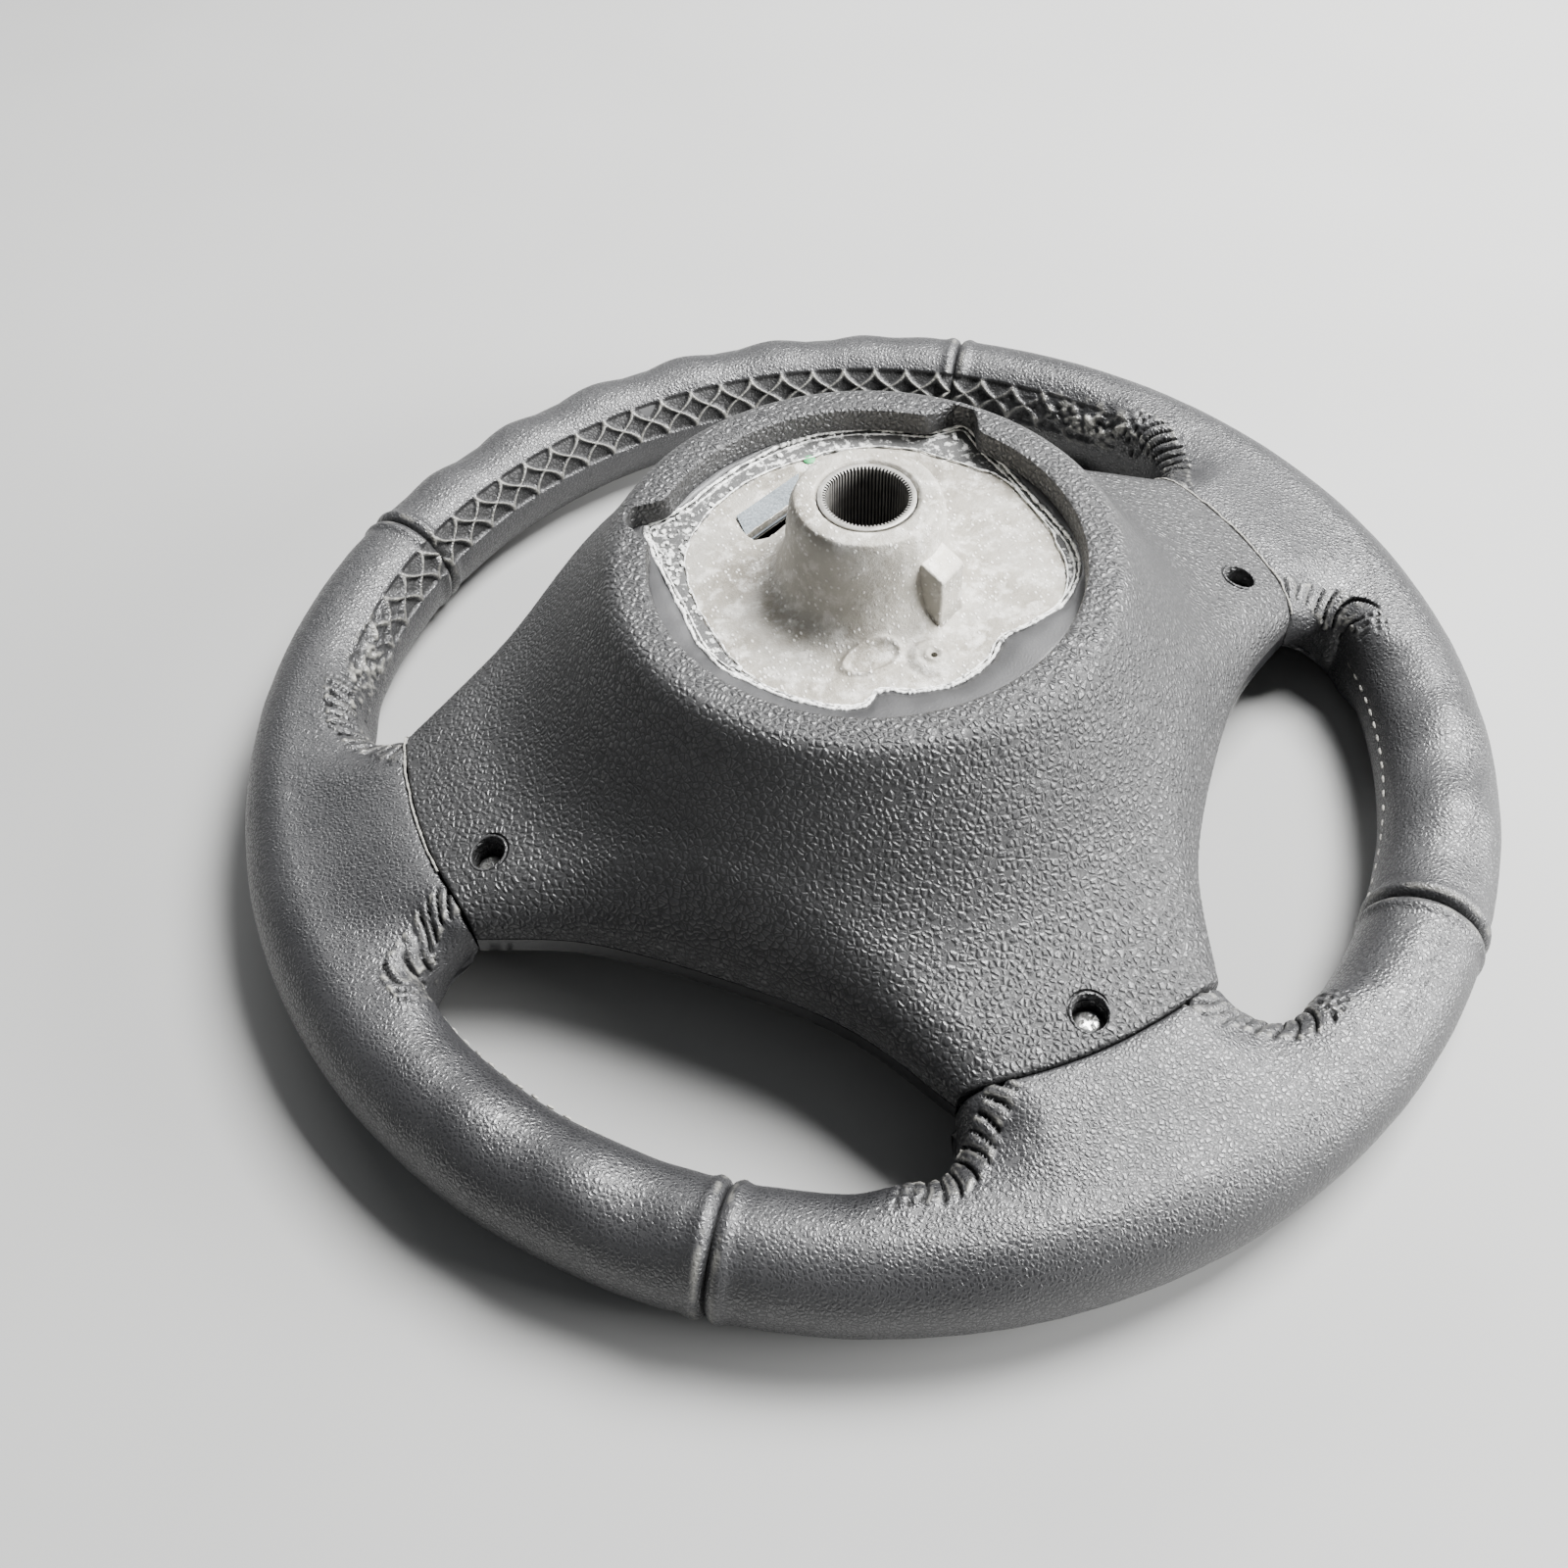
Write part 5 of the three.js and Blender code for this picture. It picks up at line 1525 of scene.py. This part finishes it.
def trim_surface():
    """Radial sections: up the opening's wall, over the face and its turned-back margin to the edge, up
    to the parting line and back along the inside."""
    edge = cover_outline(1.6)
    end = np.hypot(edge[:, 0], edge[:, 1])
    unit = edge / end[:, None]
    flat = np.full_like(end, PAD_OPENING)
    rows = [(flat, flat * 0 + height) for height in (TRIM_BACK, TRIM_FACE + 1.2)]
    rows.append((flat + 0.35, TRIM_FACE + 0.35 + 0 * end))
    shares = np.sin(np.linspace(0, math.pi / 2, 26))
    front = []
    for share in shares:
        radius = flat + 1.2 + (end - flat - 1.2) * share
        front.append((radius, trim_front(unit[:, 0] * radius, unit[:, 1] * radius)))
    rows += front
    inner = end - TRIM_WALL
    rows += [(end, TRIM_BACK + 0 * end), (inner, TRIM_BACK + 0 * end)]
    hub_side = flat + TRIM_WALL
    for radius, height in front[::-3]:
        behind = np.clip(radius, hub_side + 0.2, inner)
        rows.append((behind, np.minimum(height + TRIM_WALL, TRIM_BACK - 0.4)))
    rows.append((hub_side, TRIM_BACK + 0 * end))
    points = [np.stack([radius * unit[:, 0], radius * unit[:, 1], height], -1) for radius, height in rows]
    return np.stack(points)


def soft_block(name, centre, size, corner, profile, sharp=40):
    """A rounded rectangle carried through (inset, height) steps and capped at both ends."""
    rows = []
    for inset, height in profile:
        line = soft_rectangle(centre, size[0] - 2 * inset, size[1] - 2 * inset, max(corner - inset, 0.3))
        rows.append(np.column_stack([line, np.full(len(line), height)]))
    return skin(name, np.stack(rows), wrap_columns=True, cap_rows=True, sharp=sharp)


def gloss_material(name, dark, light, rough):
    """Smooth lacquered plastic with faint orange peel and hairline scratches."""
    material, nodes, links, shader = node_material(name)
    place = object_position(nodes)
    patch = noise(nodes, links, place, 40, 4)
    links.new(ramp(nodes, links, patch, [(0.3, dark), (0.7, light)]), shader.inputs["Base Color"])
    links.new(span(nodes, links, patch, 0.3, 0.7, rough, rough + 0.1), shader.inputs["Roughness"])
    raise_by(nodes, links, shader, noise(nodes, links, place, 700, 2), 0.00002, 0.4)
    return material


gloss_trim = gloss_material("gloss_trim_look", (0.010, 0.010, 0.0105), (0.017, 0.017, 0.018), 0.18)
trim = skin("front_trim_shell", trim_surface(), wrap_rows=True, wrap_columns=True, sharp=30)
windows = [
    soft_block(f"window_{sign}", (sign * POD_CENTRE[0], POD_CENTRE[1]),
               (POD_SIZE[0] + 0.6, POD_SIZE[1] + 0.6), 4.2,
               [(0, TRIM_FACE - 2), (0, TRIM_FACE + TRIM_WALL + 2)])
    for sign in (1, -1)
]
cut_from(trim, windows, 30)
finish_piece(trim, gloss_trim, replaces=["front_trim"])

# ---- horn pad and what it carries -----------------------------------------------------------------
# The domed pad over the air bag has a moulded grain and a shallow ring pressed into it. Behind it are
# the steel housing, the folded bag and the inflator, on three pins with springs.

pad_plastic = moulded_material(
    "pad_plastic_look", (0.016, 0.016, 0.017), (0.023, 0.023, 0.024), 900, 0.00014, 0.5)
pad = turned("horn_pad_shell", [
    (0.4, 4.0), (8, 4.02), (16, 4.1), (24, 4.25), (26.5, 4.35), (27.3, 4.8), (28.6, 5.1), (29.9, 4.85),
    (30.7, 4.5), (38, 4.9), (46, 5.4), (54, 6.1), (61, 7.0), (67, 8.1), (71, 9.2), (74, 10.8),
    (76, 12.6), (77.2, 14.9), (77.5, 17.5),
    (77.5, 27), (75, 27), (75, 17.5), (73.5, 13.6), (68, 11.4), (57, 9.6), (30, 8), (0.4, 7.6),
], 240, sharp=40)
finish_piece(pad, pad_plastic, "horn_module", ["horn_pad"])


def woven_material():
    """Plain weave: two crossed wave patterns raise the warp and the weft."""
    material, nodes, links, shader = node_material("bag_fabric_look")
    place = object_position(nodes)
    height = 0
    for axis in ("X", "Y"):
        wave = nodes.new("ShaderNodeTexWave")
        wave.bands_direction = axis
        wave.inputs["Scale"].default_value = 300
        links.new(place, wave.inputs["Vector"])
        height = math_node(nodes, links, "ADD", wave.outputs["Fac"], height)
    patch = noise(nodes, links, place, 50, 3)
    weave = ramp(nodes, links, patch, [(0.3, (0.62, 0.60, 0.55)), (0.7, (0.74, 0.72, 0.67))])
    links.new(weave, shader.inputs["Base Color"])
    links.new(span(nodes, links, patch, 0.3, 0.7, 0.75, 0.9), shader.inputs["Roughness"])
    raise_by(nodes, links, shader, height, 0.0002, 0.8)
    return material


def board_material():
    """Green lacquered circuit board with paler tracks in a fine grid."""
    material, nodes, links, shader = node_material("circuit_board_look")
    place = object_position(nodes)
    tracks = nodes.new("ShaderNodeTexBrick")
    tracks.inputs["Scale"].default_value = 260
    tracks.inputs["Color1"].default_value = (0.02, 0.13, 0.05, 1)
    tracks.inputs["Color2"].default_value = (0.03, 0.17, 0.07, 1)
    tracks.inputs["Mortar"].default_value = (0.06, 0.26, 0.12, 1)
    links.new(place, tracks.inputs["Vector"])
    links.new(tracks.outputs["Color"], shader.inputs["Base Color"])
    links.new(span(nodes, links, tracks.outputs["Fac"], 0, 1, 0.3, 0.45), shader.inputs["Roughness"])
    return material


bag_fabric = woven_material()
board_lacquer = board_material()
satin_metal = steel_material("satin_metal_look", (0.60, 0.60, 0.60), 0.4)
INNER_LOOKS = {
    "rim_core": zinc_steel, "bag_housing": zinc_steel, "folded_bag": bag_fabric,
    "inflator": satin_metal, "switch_board_right": board_lacquer, "switch_board_left": board_lacquer,
}
for spring_place in ("top_left", "top_right", "bottom"):
    INNER_LOOKS[f"horn_spring_{spring_place}"] = zinc_steel
    INNER_LOOKS[f"guide_pin_{spring_place}"] = zinc_steel
for node_name, look in INNER_LOOKS.items():
    for material_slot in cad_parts[node_name].material_slots:
        material_slot.material = look

# ---- switch pods and buttons ----------------------------------------------------------------------
# A satin plastic pod clips into each window of the trim and guides three buttons of softer gloss.

BUTTON = {"width": 25.0, "height": 13.6, "pitch": 16.0, "front": 7.0, "back": 15.0}
pod_plastic = gloss_material("pod_plastic_look", (0.014, 0.014, 0.015), (0.022, 0.022, 0.023), 0.42)
button_plastic = gloss_material("button_plastic_look", (0.009, 0.009, 0.0095), (0.016, 0.016, 0.017), 0.26)


def pod_and_buttons(side, sign):
    """One pod shell with three pockets cut in it, and the three dished caps that slide in them."""
    centre = (sign * POD_CENTRE[0], POD_CENTRE[1])
    edge = [(0, 25), (0, 9.4), (0.25, 8.85), (0.9, 8.6)]
    pod = soft_block(f"pod_shell_{side}", centre, POD_SIZE, 4, edge)
    rows = {"upper": 1, "middle": 0, "lower": -1}
    pockets = []
    for row, k in rows.items():
        place = (centre[0], centre[1] + k * BUTTON["pitch"])
        pocket_size = (BUTTON["width"] + 0.7, BUTTON["height"] + 0.7)
        pockets.append(soft_block(f"pocket_{row}", place, pocket_size, 3,
                                  [(0, 19), (0, 7.5)]))
        cap = soft_block(f"button_cap_{side}_{row}", place, (BUTTON["width"], BUTTON["height"]), 2.7, [
            (0, BUTTON["back"]), (0, 8.3), (0.2, 7.6), (0.7, 7.18), (1.6, 7.03), (3.2, 7.1), (5.0, 7.22),
            (6.3, 7.28),
        ])
        button = f"button_{side}_{row}"
        finish_piece(cap, button_plastic, button, [button])
    cut_from(pod, pockets, 30)
    finish_piece(pod, pod_plastic, replaces=[f"switch_pod_{side}"])


pod_and_buttons("right", 1)
pod_and_buttons("left", -1)
